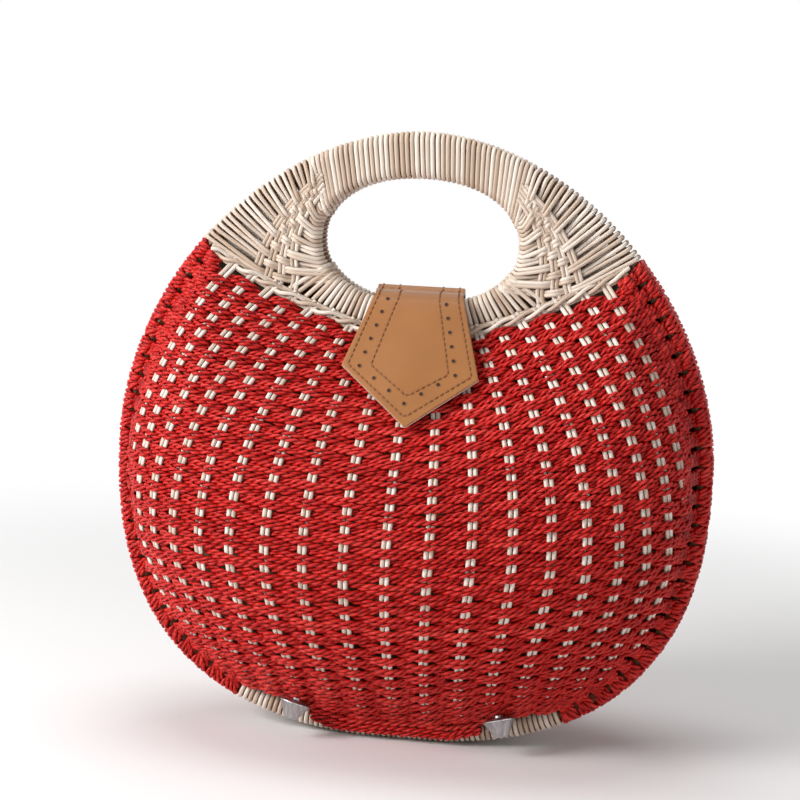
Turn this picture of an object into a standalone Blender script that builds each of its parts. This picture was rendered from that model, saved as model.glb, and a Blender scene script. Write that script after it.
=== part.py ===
"""Round clamshell straw bag: two woven domes on reed hoops, a wrapped top handle and a leather flap.

Metres, +Z up. The front faces -Y and +X is to the right of it. The origin is on the floor, under the
middle of the closed bag. The two halves meet at the plane y = 0, and the bag stands on the reed
binding that joins both hoops along the bottom.
"""
import math

import bmesh
import bpy
from mathutils import Vector

MM = 0.001

# Outline of the bag, seen from the front
HALF_WIDTH = 150.0 * MM
WIDEST_HEIGHT = 143.0 * MM
TOP_HEIGHT = 304.0 * MM
TOP_SQUARENESS = 1.85
BASE_SQUARENESS = 2.5
STANDING_FLAT = 20.0 * MM

# Reed, cord and the play between pieces
CORE_RADIUS = 2.8 * MM
RING_CORE_RADIUS = 2.4 * MM
WRAP_THICKNESS = 2.4 * MM
SEAT_GAP = 0.3 * MM
RIM_RADIUS = CORE_RADIUS + SEAT_GAP + WRAP_THICKNESS
HALF_SPLIT = 0.5 * MM
HOOP_DEPTH = HALF_SPLIT + RIM_RADIUS

# Where the wraps on the rim change, measured in from the side of the bag
SHOULDER_FROM_SIDE = 44.0 * MM
BASE_FROM_SIDE = 69.0 * MM
BINDING_FROM_SIDE = 100.0 * MM
SHOULDER_END = HALF_WIDTH - SHOULDER_FROM_SIDE
BASE_END = HALF_WIDTH - BASE_FROM_SIDE
BINDING_END = HALF_WIDTH - BINDING_FROM_SIDE
BINDING_PLAY = 1.0 * MM
WRAP_SPACING = 0.4 * MM

# Hand hole, the handle over it and the ring around it
HANDLE_THICKNESS = 24.0 * MM
HOLE_HALF_WIDTH = 49.0 * MM
HOLE_HALF_HEIGHT = 31.0 * MM
HOLE_HEIGHT = TOP_HEIGHT - HANDLE_THICKNESS - HOLE_HALF_HEIGHT
HOLE_SQUARENESS = 2.15
HANDLE_SPREAD = 5.0 * MM
HANDLE_TUCK = 4.0 * MM
HANDLE_END = HOLE_HALF_WIDTH + HANDLE_SPREAD
HANDLE_END_AT_HOLE = HOLE_HALF_WIDTH - HANDLE_TUCK
RING_BAND = 12.5 * MM

# Upper edge of the red weave, from under the hand hole out to the rim
BORDER_UNDER_HOLE = 16.5 * MM
BORDER_LOW = HOLE_HEIGHT - HOLE_HALF_HEIGHT - BORDER_UNDER_HOLE
BORDER_BEND = 1.55
BORDER_STRAND_RADIUS = 1.6 * MM

PANEL_CORNER = 6.0 * MM

# The dome of each half
DOME_RISE = 58.2 * MM
BELLY_BELOW_WIDEST = 45.0 * MM
BELLY_HEIGHT = WIDEST_HEIGHT - BELLY_BELOW_WIDEST
DOME_ROUNDNESS = 2.2
DOME_UPPER_CURVE = 1.7
DOME_LOWER_CURVE = 1.8
WEAVE_THICKNESS = 3.0 * MM
WEAVE_EDGE_SEAT = 0.9 * MM
RIB_HEIGHT = 1.6 * MM
RIB_FADE = 28.0 * MM
LINING_THICKNESS = 1.0 * MM
STAKE_THICKNESS = 2.2 * MM
STAKE_WIDTH = 4.8 * MM
LAYER_PLAY = 2.0 * MM
OUTER_STAKE_PLAY = 1.0 * MM
LINING_INSET = 5.0 * MM
LINING_PLAY = 2.4 * MM

# Stakes
STAKES_EACH_SIDE = 9
STAKE_ANGLE = math.radians(8.05)
STAKE_TOP_MARGIN = 5.8 * MM
STAKE_MIDDLE_BELOW_WIDEST = 37.0 * MM
STAKE_MIDDLE_HEIGHT = WIDEST_HEIGHT - STAKE_MIDDLE_BELOW_WIDEST
STAKE_TAPER_HEIGHT = 142.0 * MM
STAKE_END_MARGIN = 6.0 * MM

# Leather flap and its strap
FLAP_HALF_WIDTH_TOP = 22.0 * MM
FLAP_HALF_WIDTH = 33.5 * MM
FLAP_WIDEST_AT = 42.5 * MM
FLAP_LENGTH = 73.0 * MM
FLAP_TIP_HALF_WIDTH = 1.2 * MM
FLAP_PLAY = 0.9 * MM
FLAP_THICKNESS = 2.0 * MM
FLAP_BEND_RADIUS = 4.0 * MM
STRAP_TAIL = 24.0 * MM
SNAP_RADIUS = 7.0 * MM
SNAP_THICKNESS = 1.6 * MM
SNAP_FROM_BEND = 44.0 * MM

# Metal feet
FOOT_BESIDE_BINDING = 1.0 * MM
FOOT_BASE_HEIGHT = 9.0 * MM
FOOT_HEIGHT = 7.2 * MM
FOOT_TOP_RADIUS = 7.6 * MM
FOOT_BASE_RADIUS = 4.3 * MM
FOOT_LIP = 0.9 * MM
FOOT_STEM_RADIUS = 1.8 * MM

# Side gussets of the lining
GUSSET_FOLD = 12.0 * MM
GUSSET_BELOW_WIDEST = 81.0 * MM
GUSSET_ABOVE_WIDEST = 62.0 * MM

# Mesh fineness
RING_POINTS = 8
CORE_POINTS = 6
WEAVE_ROWS = 12
LINING_ROWS = 11
LINING_COLUMNS = 16
STAKE_POINTS = 8
RING_WRAP_POINTS = 16
LONGEST_SEAT = 40.0 * MM
NEAR_POINTS = 2.5 * MM
SHADE_ANGLE = math.radians(35)

FRONT = -1
BACK = 1

MATERIALS = {
    "red_cord": ((0.62, 0.03, 0.025), 0.75, 0.0),
    "natural_reed": ((0.76, 0.66, 0.50), 0.60, 0.0),
    "tan_leather": ((0.47, 0.24, 0.10), 0.50, 0.0),
    "khaki_cloth": ((0.20, 0.15, 0.08), 0.90, 0.0),
    "polished_metal": ((0.72, 0.72, 0.74), 0.22, 1.0),
}


def clear_scene():
    for old in list(bpy.data.objects):
        bpy.data.objects.remove(old, do_unlink=True)


def make_materials():
    made = {}
    for name, (colour, roughness, metallic) in MATERIALS.items():
        material = bpy.data.materials.new(name)
        material.use_nodes = True
        shader = material.node_tree.nodes["Principled BSDF"]
        shader.inputs["Base Color"].default_value = (*colour, 1.0)
        shader.inputs["Roughness"].default_value = roughness
        shader.inputs["Metallic"].default_value = metallic
        made[name] = material
    return made


# Curves of the outline, as points (x, z)

def superellipse_height(across, half_width, rise, squareness):
    share = min(abs(across) / half_width, 1.0)
    return rise * (1.0 - share ** squareness) ** (1.0 / squareness)


def base_rise(inset):
    """Rise of the lower half that puts its flat, of half length STANDING_FLAT, on the inset level."""
    flat = superellipse_height(STANDING_FLAT, HALF_WIDTH - inset, 1.0, BASE_SQUARENESS)
    return (WIDEST_HEIGHT - inset) / flat


def rim_height(across, inset, upper):
    half_width = HALF_WIDTH - inset
    if upper:
        rise = TOP_HEIGHT - WIDEST_HEIGHT - inset
        return WIDEST_HEIGHT + superellipse_height(across, half_width, rise, TOP_SQUARENESS)
    drop = superellipse_height(across, half_width, base_rise(inset), BASE_SQUARENESS)
    return max(WIDEST_HEIGHT - drop, inset)


def rim_point(angle, inset):
    half_width = HALF_WIDTH - inset
    upper = math.sin(angle) >= 0.0
    squareness = TOP_SQUARENESS if upper else BASE_SQUARENESS
    cosine = math.cos(angle)
    across = math.copysign(half_width * abs(cosine) ** (2.0 / squareness), cosine)
    return Vector((across, 0.0, rim_height(across, inset, upper)))


def rim_angle(across, inset, upper):
    """Angle in the right half at which the rim is this far from the middle."""
    squareness = TOP_SQUARENESS if upper else BASE_SQUARENESS
    angle = math.acos((across / (HALF_WIDTH - inset)) ** (squareness / 2.0))
    return angle if upper else -angle


def hole_point(angle, outset):
    cosine, sine = math.cos(angle), math.sin(angle)
    power = 2.0 / HOLE_SQUARENESS
    across = math.copysign((HOLE_HALF_WIDTH + outset) * abs(cosine) ** power, cosine)
    height = math.copysign((HOLE_HALF_HEIGHT + outset) * abs(sine) ** power, sine)
    return Vector((across, 0.0, HOLE_HEIGHT + height))


def hole_angle(across, outset):
    return math.acos((across / (HOLE_HALF_WIDTH + outset)) ** (HOLE_SQUARENESS / 2.0))


def border_height(across):
    """Height of the weave's upper edge."""
    junction = rim_height(SHOULDER_END, RIM_RADIUS, True)
    share = min(abs(across) / SHOULDER_END, 1.0)
    return BORDER_LOW + (junction - BORDER_LOW) * share ** BORDER_BEND


def even_points(points, count):
    """Points at equal distances along a polyline."""
    lengths = [0.0]
    for first, second in zip(points, points[1:]):
        lengths.append(lengths[-1] + (second - first).length)
    result = []
    index = 0
    for step in range(count):
        target = lengths[-1] * step / (count - 1)
        while index < len(points) - 2 and lengths[index + 1] < target:
            index += 1
        span = lengths[index + 1] - lengths[index]
        share = (target - lengths[index]) / span if span > 0.0 else 0.0
        result.append(points[index].lerp(points[index + 1], share))
    return result


def rim_stretch(start, end, inset, count):
    """Even points along the rim between two angles."""
    fine = 400
    curve = [rim_point(start + (end - start) * step / fine, inset) for step in range(fine + 1)]
    return even_points(curve, count)


def hole_stretch(start, end, outset, count):
    fine = 400
    curve = [hole_point(start + (end - start) * step / fine, outset) for step in range(fine + 1)]
    return even_points(curve, count)


def mirrored(points):
    return [Vector((-point.x, point.y, point.z)) for point in points]


# The dome's surface

DOME_INSET = RIM_RADIUS + (RIM_RADIUS + WEAVE_EDGE_SEAT) * math.cos(math.radians(45))
BINDING_HALF_DEPTH = HOOP_DEPTH + CORE_RADIUS + BINDING_PLAY + WRAP_THICKNESS
DOME_EDGE_DEPTH = (BINDING_HALF_DEPTH - RIM_RADIUS) + (DOME_INSET - RIM_RADIUS)
DOME_HALF_WIDTH = HALF_WIDTH - DOME_INSET
BORDER_DROP = BORDER_STRAND_RADIUS + 4 * SEAT_GAP
NORMAL_DROP = BORDER_DROP + 3.0 * MM
STRAND_END = SHOULDER_END - DOME_INSET + BORDER_STRAND_RADIUS
STAKE_SPACING_AT_TOP = (STRAND_END - STAKE_TOP_MARGIN) / STAKES_EACH_SIDE
FOOT_ACROSS = BINDING_END + FOOT_BESIDE_BINDING


def dome_top(across):
    if abs(across) >= SHOULDER_END:
        return rim_height(across, DOME_INSET, True)
    return min(border_height(across) - BORDER_DROP, rim_height(across, DOME_INSET, True))


def dome_depth(across, height):
    """Distance of the weave's middle surface from the plane where the halves meet."""
    low = rim_height(across, DOME_INSET, False)
    high = dome_top(across)
    sideways = min(abs(across) / DOME_HALF_WIDTH, 1.0)
    belly = BELLY_HEIGHT + (WIDEST_HEIGHT - BELLY_HEIGHT) * sideways ** 4
    if height >= belly:
        share = min((height - belly) / max(high - belly, MM), 1.0)
        fall = 1.0 - share ** DOME_UPPER_CURVE
    else:
        share = min((belly - height) / max(belly - low, MM), 1.0)
        fall = 1.0 - share ** DOME_LOWER_CURVE
    round_off = superellipse_height(across, DOME_HALF_WIDTH, 1.0, DOME_ROUNDNESS)
    return DOME_EDGE_DEPTH + DOME_RISE * round_off * fall


def dome_point(across, height):
    return Vector((across, -dome_depth(across, height), height))


def dome_normal(across, height):
    """Outward normal of the front dome's middle surface."""
    step = 1.5 * MM
    sideways = dome_point(across + step, height) - dome_point(across - step, height)
    upwards = dome_point(across, height + step) - dome_point(across, height - step)
    normal = sideways.cross(upwards)
    return normal.normalized()


def stake_across(number, height):
    """Distance of a stake from the middle of the bag. A fraction is a place between two stakes."""
    top_across = STAKE_SPACING_AT_TOP * number
    middle_across = (HALF_WIDTH - RIM_RADIUS) * math.sin(STAKE_ANGLE * number)
    if height > STAKE_MIDDLE_HEIGHT:
        share = (height - STAKE_MIDDLE_HEIGHT) / (border_height(top_across) - STAKE_MIDDLE_HEIGHT)
        return middle_across + (top_across - middle_across) * share ** DOME_UPPER_CURVE
    share = min((STAKE_MIDDLE_HEIGHT - height) / STAKE_TAPER_HEIGHT, 1.0)
    return middle_across * math.sqrt(1.0 - share ** 2)


def rib_lift(number, across, height):
    """How far the cords stand out where they pass over a stake. The ribs fade towards the edges."""
    over_low = (height - rim_height(across, DOME_INSET, False)) / RIB_FADE
    under_top = (dome_top(across) - height) / RIB_FADE
    fade = max(min(over_low, under_top, 1.0), 0.0)
    return RIB_HEIGHT * fade * (1.0 - (number / STAKES_EACH_SIDE) ** 6)


def row_ends(count):
    """Right-hand ends of the rows, from the shoulder down to the end of the binding."""
    start = rim_angle(SHOULDER_END, DOME_INSET, True)
    end = rim_angle(BASE_END, DOME_INSET, False)
    return rim_stretch(start, end, DOME_INSET, count)


def row_middles(count):
    """Where the rows cross the middle of the dome, evenly spaced along its surface."""
    fine = 200
    top = dome_top(0.0)
    low = rim_height(0.0, DOME_INSET, False)
    curve = [dome_point(0.0, top + (low - top) * step / fine) for step in range(fine + 1)]
    return even_points(curve, count)


def weave_half_row(end, middle):
    """Points of the right half of one row, on the stakes and halfway between them."""
    outermost = stake_across(STAKES_EACH_SIDE, end.z)
    squeeze = min(1.0, (end.x - WEAVE_THICKNESS) / outermost)
    points = []
    for step in range(2 * STAKES_EACH_SIDE + 1):
        number = step / 2
        across = end.x * number / (STAKES_EACH_SIDE + 1)
        for _ in range(12):
            height = middle.z + (end.z - middle.z) * (across / end.x) ** BORDER_BEND
            across = (across + stake_across(number, height) * squeeze) / 2
        point = dome_point(across, height)
        if step % 2 == 0:
            point = point + dome_normal(across, height) * rib_lift(number, across, height)
        points.append(point)
    across = (across + end.x) / 2
    height = middle.z + (end.z - middle.z) * (across / end.x) ** BORDER_BEND
    points.append(dome_point(across, height))
    points.append(dome_point(end.x, end.z))
    return points


def weave_points():
    """Rows of points over the front weave's middle surface, with a rib along each stake."""
    rows = []
    for end, middle in zip(row_ends(WEAVE_ROWS), row_middles(WEAVE_ROWS)):
        right = weave_half_row(end, middle)
        rows.append(mirrored(right[1:])[::-1] + right)
    return rows


def dome_grid(rows, columns, shrink):
    """Rows of (x, z) places over the dome, kept inside its edge by the shrink distance."""
    grid = []
    ends = row_ends(rows)
    middles = row_middles(rows)
    centre = Vector((0.0, 0.0, (dome_top(0.0) + DOME_INSET) / 2))
    for end, middle in zip(ends, middles):
        row = []
        for column in range(columns + 1):
            turn = math.pi / 2 * (2.0 * column / columns - 1.0)
            across = end.x * math.sin(turn)
            height = middle.z + (end.z - middle.z) * abs(math.sin(turn)) ** BORDER_BEND
            place = Vector((across, 0.0, height))
            inward = centre - place
            if shrink > 0.0 and inward.length > 0.0:
                place = place + inward.normalized() * shrink * (inward.length / HALF_WIDTH)
            row.append(place)
        grid.append(row)
    return grid


# Mesh building

def new_object(name, mesh, material):
    obj = bpy.data.objects.new(name, mesh)
    bpy.context.scene.collection.objects.link(obj)
    mesh.materials.append(material)
    return obj


def finish_mesh(bm, name, smooth=True):
    bmesh.ops.recalc_face_normals(bm, faces=bm.faces)
    mesh = bpy.data.meshes.new(name)
    bm.to_mesh(mesh)
    bm.free()
    if smooth:
        mesh.shade_smooth()
        mesh.set_sharp_from_angle(angle=SHADE_ANGLE)
    return mesh


def stadium(half_length, end_radius, count):
    """Offsets (along, beside) of a ring with two round ends, its flats on the round's outline."""
    ring = []
    corner_radius = end_radius / math.cos(math.pi / count)
    for index in range(count):
        turn = 2.0 * math.pi * (index + 0.5) / count
        along = corner_radius * math.cos(turn)
        along += math.copysign(half_length - end_radius, math.cos(turn))
        ring.append((along, corner_radius * math.sin(turn)))
    return ring


def add_ring(bm, centre, along, beside, half_length, end_radius, count):
    ring = stadium(half_length, end_radius, count)
    return [bm.verts.new(centre + along * a + beside * b) for a, b in ring]


def bridge(bm, first, second):
    count = len(first)
    for index in range(count):
        after = (index + 1) % count
        bm.faces.new((first[index], first[after], second[after], second[index]))


def sleeve(name, stations, material):
    """Open tube around a path. A station is (centre, along, beside, half length, end radius)."""
    bm = bmesh.new()
    outer, inner = [], []
    for centre, along, beside, half_length, end_radius in stations:
        outer.append(add_ring(bm, centre, along, beside, half_length, end_radius, RING_POINTS))
        inner.append(add_ring(bm, centre, along, beside, half_length - WRAP_THICKNESS,
                              end_radius - WRAP_THICKNESS, RING_POINTS))
    for rings in (outer, inner):
        for first, second in zip(rings, rings[1:]):
            bridge(bm, first, second)
    bridge(bm, outer[0], inner[0])
    bridge(bm, outer[-1], inner[-1])
    return new_object(name, finish_mesh(bm, name), material)


def outward_axes(points):
    """In-plane direction square to a path of points in the XZ plane."""
    runs = [after - before for before, after in zip(points, points[2:])]
    runs.insert(0, points[1] * 4 - points[0] * 3 - points[2])
    runs.append(points[-1] * 3 + points[-3] - points[-2] * 4)
    return [Vector((run.z, 0.0, -run.x)).normalized() for run in runs]


def path_stations(points, half_length, end_radius, side, shift=0.0):
    """Stations of a wrap around a hoop of one half."""
    stations = []
    beside = Vector((0.0, 1.0, 0.0))
    for point, along in zip(points, outward_axes(points)):
        centre = Vector((point.x, side * HOOP_DEPTH, point.z)) + along * shift
        stations.append((centre, along, beside, half_length, end_radius))
    return stations


def hoop(name, points, radius, material, side):
    """Solid closed ring of reed through the points."""
    bm = bmesh.new()
    beside = Vector((0.0, 1.0, 0.0))
    rings = []
    inside = radius * math.cos(math.pi / CORE_POINTS)
    count = len(points)
    for index, point in enumerate(points):
        run = (points[(index + 1) % count] - points[index - 1]).normalized()
        along = Vector((run.z, 0.0, -run.x))
        centre = Vector((point.x, side * HOOP_DEPTH, point.z))
        rings.append(add_ring(bm, centre, along, beside, inside, inside, CORE_POINTS))
    for index in range(count):
        bridge(bm, rings[index], rings[(index + 1) % count])
    return new_object(name, finish_mesh(bm, name), material)


def sheet_from_grid(name, grid, thickness, material):
    """Closed sheet of even thickness around a grid of points."""
    bm = bmesh.new()
    rows = [[bm.verts.new(point) for point in row] for row in grid]
    for upper, lower in zip(rows, rows[1:]):
        for index in range(len(upper) - 1):
            bm.faces.new((upper[index], upper[index + 1], lower[index + 1], lower[index]))
    obj = new_object(name, finish_mesh(bm, name), material)
    solidify = obj.modifiers.new("thickness", "SOLIDIFY")
    solidify.thickness = thickness
    solidify.offset = 0.0
    solidify.use_even_offset = True
    return obj


def bar(bm, points, widths, normals, half_thickness):
    """Flat bar along points, square to the normals, added to the mesh."""
    rings = []
    count = len(points)
    for index, point in enumerate(points):
        before = points[max(index - 1, 0)]
        after = points[min(index + 1, count - 1)]
        run = (after - before).normalized()
        sideways = run.cross(normals[index]).normalized()
        lift = normals[index] * half_thickness
        edge = sideways * widths[index]
        corners = (point + lift + edge, point + lift - edge, point - lift - edge, point - lift + edge)
        rings.append([bm.verts.new(corner) for corner in corners])
    for first, second in zip(rings, rings[1:]):
        bridge(bm, first, second)
    bm.faces.new(list(reversed(rings[0])))
    bm.faces.new(rings[-1])


def lathe(name, profile, material, count):
    """Solid of revolution about Z from (radius, height) points, closed at both ends."""
    bm = bmesh.new()
    rings = []
    for radius, height in profile:
        ring = []
        for index in range(count):
            turn = 2.0 * math.pi * index / count
            ring.append(bm.verts.new((radius * math.cos(turn), radius * math.sin(turn), height)))
        rings.append(ring)
    for first, second in zip(rings, rings[1:]):
        bridge(bm, first, second)
    bm.faces.new(rings[0])
    bm.faces.new(rings[-1])
    return new_object(name, finish_mesh(bm, name), material)


def extruded_profile(name, profile, half_width, material):
    """Prism along X from a closed outline of (y, z) points."""
    bm = bmesh.new()
    left = [bm.verts.new((-half_width, y, z)) for y, z in profile]
    right = [bm.verts.new((half_width, y, z)) for y, z in profile]
    bridge(bm, left, right)
    bm.faces.new(left)
    bm.faces.new(right)
    return new_object(name, finish_mesh(bm, name), material)


def side_name(side, piece):
    return ("front_" if side == FRONT else "back_") + piece


def turned_to(side, points):
    """Front-half points, or their mirror images in the back half."""
    if side == FRONT:
        return points
    return [Vector((point.x, -point.y, point.z)) for point in points]


# Pieces of each half

def red_wrap_path():
    """Right-hand stretch of the rim under red cord, from the shoulder down."""
    start = rim_angle(SHOULDER_END + WRAP_SPACING, RIM_RADIUS, True)
    end = rim_angle(BASE_END + WRAP_SPACING, RIM_RADIUS, False)
    return rim_stretch(start, end, RIM_RADIUS, 14)


def base_wrap_path():
    """Right-hand stretch of the rim under natural reed, from the red cord to the binding."""
    start = rim_angle(BASE_END - WRAP_SPACING, RIM_RADIUS, False)
    end = rim_angle(BINDING_END + WRAP_SPACING, RIM_RADIUS, False)
    return rim_stretch(start, end, RIM_RADIUS, 4)


def shoulder_wrap_path():
    """Right-hand stretch of the rim under natural reed, from the handle down."""
    start = rim_angle(HANDLE_END + WRAP_SPACING, RIM_RADIUS, True)
    end = rim_angle(SHOULDER_END - WRAP_SPACING, RIM_RADIUS, True)
    return rim_stretch(start, end, RIM_RADIUS, 6)


def binding_path():
    """Bottom stretch of the rim, from right to left."""
    end = rim_angle(BINDING_END - WRAP_SPACING, RIM_RADIUS, False)
    return rim_stretch(end, -math.pi - end, RIM_RADIUS, 8)


def grip_edges():
    """Upper and lower edge of the handle, from right to left."""
    outer_end = rim_angle(HANDLE_END, 0.0, True)
    hole_end = hole_angle(HANDLE_END_AT_HOLE, 0.0)
    outer = rim_stretch(outer_end, math.pi - outer_end, 0.0, 11)
    inner = hole_stretch(hole_end, math.pi - hole_end, 0.0, 11)
    return outer, inner


def without_close_points(points):
    """Closed path without points that lie close behind the one before."""
    kept = []
    for point in points:
        if not kept or (point - kept[-1]).length > NEAR_POINTS:
            kept.append(point)
    if (kept[0] - kept[-1]).length < NEAR_POINTS:
        kept.pop()
    return kept


def make_hoops(side, made):
    outer, inner = grip_edges()
    under_outer = [high + (low - high).normalized() * RIM_RADIUS for high, low in zip(outer, inner)]
    under_inner = [low + (high - low).normalized() * RIM_RADIUS for high, low in zip(outer, inner)]
    right = shoulder_wrap_path() + red_wrap_path() + base_wrap_path()
    rim = right + binding_path() + mirrored(right)[::-1] + under_outer[::-1]
    rim = without_close_points(rim)
    hoop(side_name(side, "rim_hoop"), rim, CORE_RADIUS, made["natural_reed"], side)
    ring = without_close_points(ring_wrap_path(RING_WRAP_POINTS) + under_inner[::-1])
    hoop(side_name(side, "hand_ring"), ring, RING_CORE_RADIUS, made["natural_reed"], side)


def make_rim_wraps(side, made):
    """Red cord wraps down each side, with natural reed wraps above and below them."""
    stretches = {
        "rim_wrap": (red_wrap_path(), "red_cord"),
        "shoulder_wrap": (shoulder_wrap_path(), "natural_reed"),
        "base_wrap": (base_wrap_path(), "natural_reed"),
    }
    for piece, (right, material) in stretches.items():
        for hand, points in (("right", right), ("left", mirrored(right))):
            stations = path_stations(points, RIM_RADIUS, RIM_RADIUS, side)
            sleeve(side_name(side, piece + "_" + hand), stations, made[material])


def make_handle_grip(side, made):
    """Close reed wrap that binds the rim hoop and the hand ring together as the handle."""
    beside = Vector((0.0, 1.0, 0.0))
    stations = []
    for high, low in zip(*grip_edges()):
        centre = (high + low) / 2
        centre.y = side * HOOP_DEPTH
        along = (high - low).normalized()
        stations.append((centre, along, beside, (high - low).length / 2, RIM_RADIUS))
    sleeve(side_name(side, "handle_grip"), stations, made["natural_reed"])


def ring_wrap_path(count):
    """Centre of the wrap around the hand ring, below the handle, from right to left."""
    high = hole_angle(HANDLE_END_AT_HOLE + RIM_RADIUS, RIM_RADIUS) - math.radians(6.5)
    return hole_stretch(high, -math.pi - high, RIM_RADIUS, count)


def make_ring_wrap(side, made):
    points = ring_wrap_path(RING_WRAP_POINTS)
    half = RING_BAND / 2
    stations = path_stations(points, half, RIM_RADIUS, side, RIM_RADIUS - half)
    sleeve(side_name(side, "ring_wrap"), stations, made["natural_reed"])


def make_weave(side, made):
    """Sheet of woven cord, fluted by the stakes that its rows pass over and under."""
    points = [turned_to(side, row) for row in weave_points()]
    sheet_from_grid(side_name(side, "weave"), points, WEAVE_THICKNESS, made["red_cord"])


def lining_points():
    """Rows of points over the front lining's middle surface."""
    offset = WEAVE_THICKNESS / 2 + LAYER_PLAY + STAKE_THICKNESS + LINING_PLAY + LINING_THICKNESS / 2
    points = []
    for row in dome_grid(LINING_ROWS, LINING_COLUMNS, LINING_INSET):
        points.append([dome_point(p.x, p.z) - dome_normal(p.x, p.z) * offset for p in row])
    return points


def make_lining(side, made):
    points = [turned_to(side, row) for row in lining_points()]
    sheet_from_grid(side_name(side, "lining"), points, LINING_THICKNESS, made["khaki_cloth"])


def stake_places(number, count):
    """Places (x, z) down one stake pair, numbered from the middle outwards."""
    hand = -1.0 if number < 0 else 1.0
    top = border_height(STAKE_SPACING_AT_TOP * abs(number))
    places = []
    fine = 300
    low = DOME_INSET + STAKE_END_MARGIN
    for step in range(fine + 1):
        height = top + (low - top) * step / fine
        across = stake_across(abs(number), height)
        if height < rim_height(across, DOME_INSET, False) + STAKE_END_MARGIN:
            break
        places.append(Vector((hand * across, 0.0, height)))
    return even_points(places, count)


def make_stake_fan(side, made):
    """Pairs of reed stakes behind the weave, tied together by the strand along its upper edge."""
    name = side_name(side, "stake_fan")
    depth = WEAVE_THICKNESS / 2 + LAYER_PLAY + STAKE_THICKNESS / 2
    pieces = []
    strand = []
    for step in range(17):
        across = STRAND_END * (step / 8.0 - 1.0)
        height = border_height(across)
        strand.append(dome_point(across, height) - dome_normal(across, height - NORMAL_DROP) * depth)
    normals = [dome_normal(p.x, border_height(p.x) - NORMAL_DROP) for p in strand]
    bm = bmesh.new()
    widths = [BORDER_STRAND_RADIUS] * len(strand)
    bar(bm, turned_to(side, strand), widths, turned_to(side, normals), BORDER_STRAND_RADIUS)
    fan = new_object(name, finish_mesh(bm, name), made["natural_reed"])
    for number in range(-STAKES_EACH_SIDE, STAKES_EACH_SIDE + 1):
        places = stake_places(number, STAKE_POINTS)
        points, normals = [], []
        behind = depth + OUTER_STAKE_PLAY * (abs(number) / STAKES_EACH_SIDE) ** 4
        for place in places:
            normal = dome_normal(place.x, min(place.z, border_height(place.x) - NORMAL_DROP))
            points.append(dome_point(place.x, place.z) - normal * behind)
            normals.append(normal)
        bm = bmesh.new()
        widths = [STAKE_WIDTH / 2] * len(points)
        bar(bm, turned_to(side, points), widths, turned_to(side, normals), STAKE_THICKNESS / 2)
        mesh = finish_mesh(bm, "stake")
        stake = bpy.data.objects.new("stake_guide", mesh)
        bpy.context.scene.collection.objects.link(stake)
        stake.hide_render = True
        stake.display_type = "WIRE"
        pieces.append(stake)
    group = bpy.data.collections.new(name + "_stakes")
    for stake in pieces:
        group.objects.link(stake)
    union = fan.modifiers.new("stakes", "BOOLEAN")
    union.operation = "UNION"
    union.operand_type = "COLLECTION"
    union.collection = group


def make_shoulder_panels(side, made):
    """Reed panel between the rim, the hand ring and the weave's upper edge, on each side."""
    count = 7
    edge = RIM_RADIUS + SEAT_GAP
    shoulder = rim_angle(SHOULDER_END - PANEL_CORNER, RIM_RADIUS + edge, True)
    handle = rim_angle(HANDLE_END, RIM_RADIUS + edge, True)
    outer = rim_stretch(handle, shoulder, RIM_RADIUS + edge, count)
    ring_gap = RING_BAND + 3 * SEAT_GAP
    start = hole_angle(HANDLE_END_AT_HOLE + ring_gap, ring_gap)
    inner_curve = [hole_point(start - math.radians(2.0 * step), ring_gap) for step in range(60)]
    lowest = [p for p in inner_curve if p.x > 0.0 and p.z > border_height(p.x) + PANEL_CORNER]
    corner = lowest[-1]
    border = []
    for step in range(1, 11):
        across = corner.x + (outer[-1].x - 1.0 * MM - corner.x) * step / 10
        border.append(Vector((across, 0.0, border_height(across) + BORDER_STRAND_RADIUS + 2 * SEAT_GAP)))
    inner = even_points(lowest + border, count)
    for hand, flip in (("right", 1.0), ("left", -1.0)):
        grid = []
        for high, low in zip(outer, inner):
            row = []
            for step in range(3):
                point = low.lerp(high, step / 2)
                row.append(Vector((flip * point.x, side * HOOP_DEPTH, point.z)))
            grid.append(row)
        name = side_name(side, "shoulder_panel_" + hand)
        sheet_from_grid(name, grid, 2 * CORE_RADIUS, made["natural_reed"])


def weave_gap(point):
    """Clear distance from a point in front of the front weave to the top of its ribs."""
    surface = dome_point(point.x, point.z)
    reach = (point - surface).dot(dome_normal(point.x, point.z))
    return reach - WEAVE_THICKNESS / 2 - rib_lift(0, point.x, point.z)


def foot_forward():
    """Distance of the feet from the middle plane, where their flanges clear the weave and binding."""
    top = FOOT_BASE_HEIGHT + FOOT_HEIGHT
    rear = BINDING_HALF_DEPTH + SEAT_GAP
    while weave_gap(Vector((FOOT_ACROSS, -rear, top))) < SEAT_GAP:
        rear += 0.05 * MM
    return rear + FOOT_TOP_RADIUS


def foot_stem_length(forward):
    """Length at which the foot's stem reaches the weave above it."""
    length = MM
    top = FOOT_BASE_HEIGHT + FOOT_HEIGHT
    while length < LONGEST_SEAT:
        back_edge = Vector((FOOT_ACROSS, FOOT_STEM_RADIUS - forward, top + length))
        if weave_gap(back_edge) < 2 * SEAT_GAP:
            break
        length += 0.05 * MM
    return length


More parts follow.
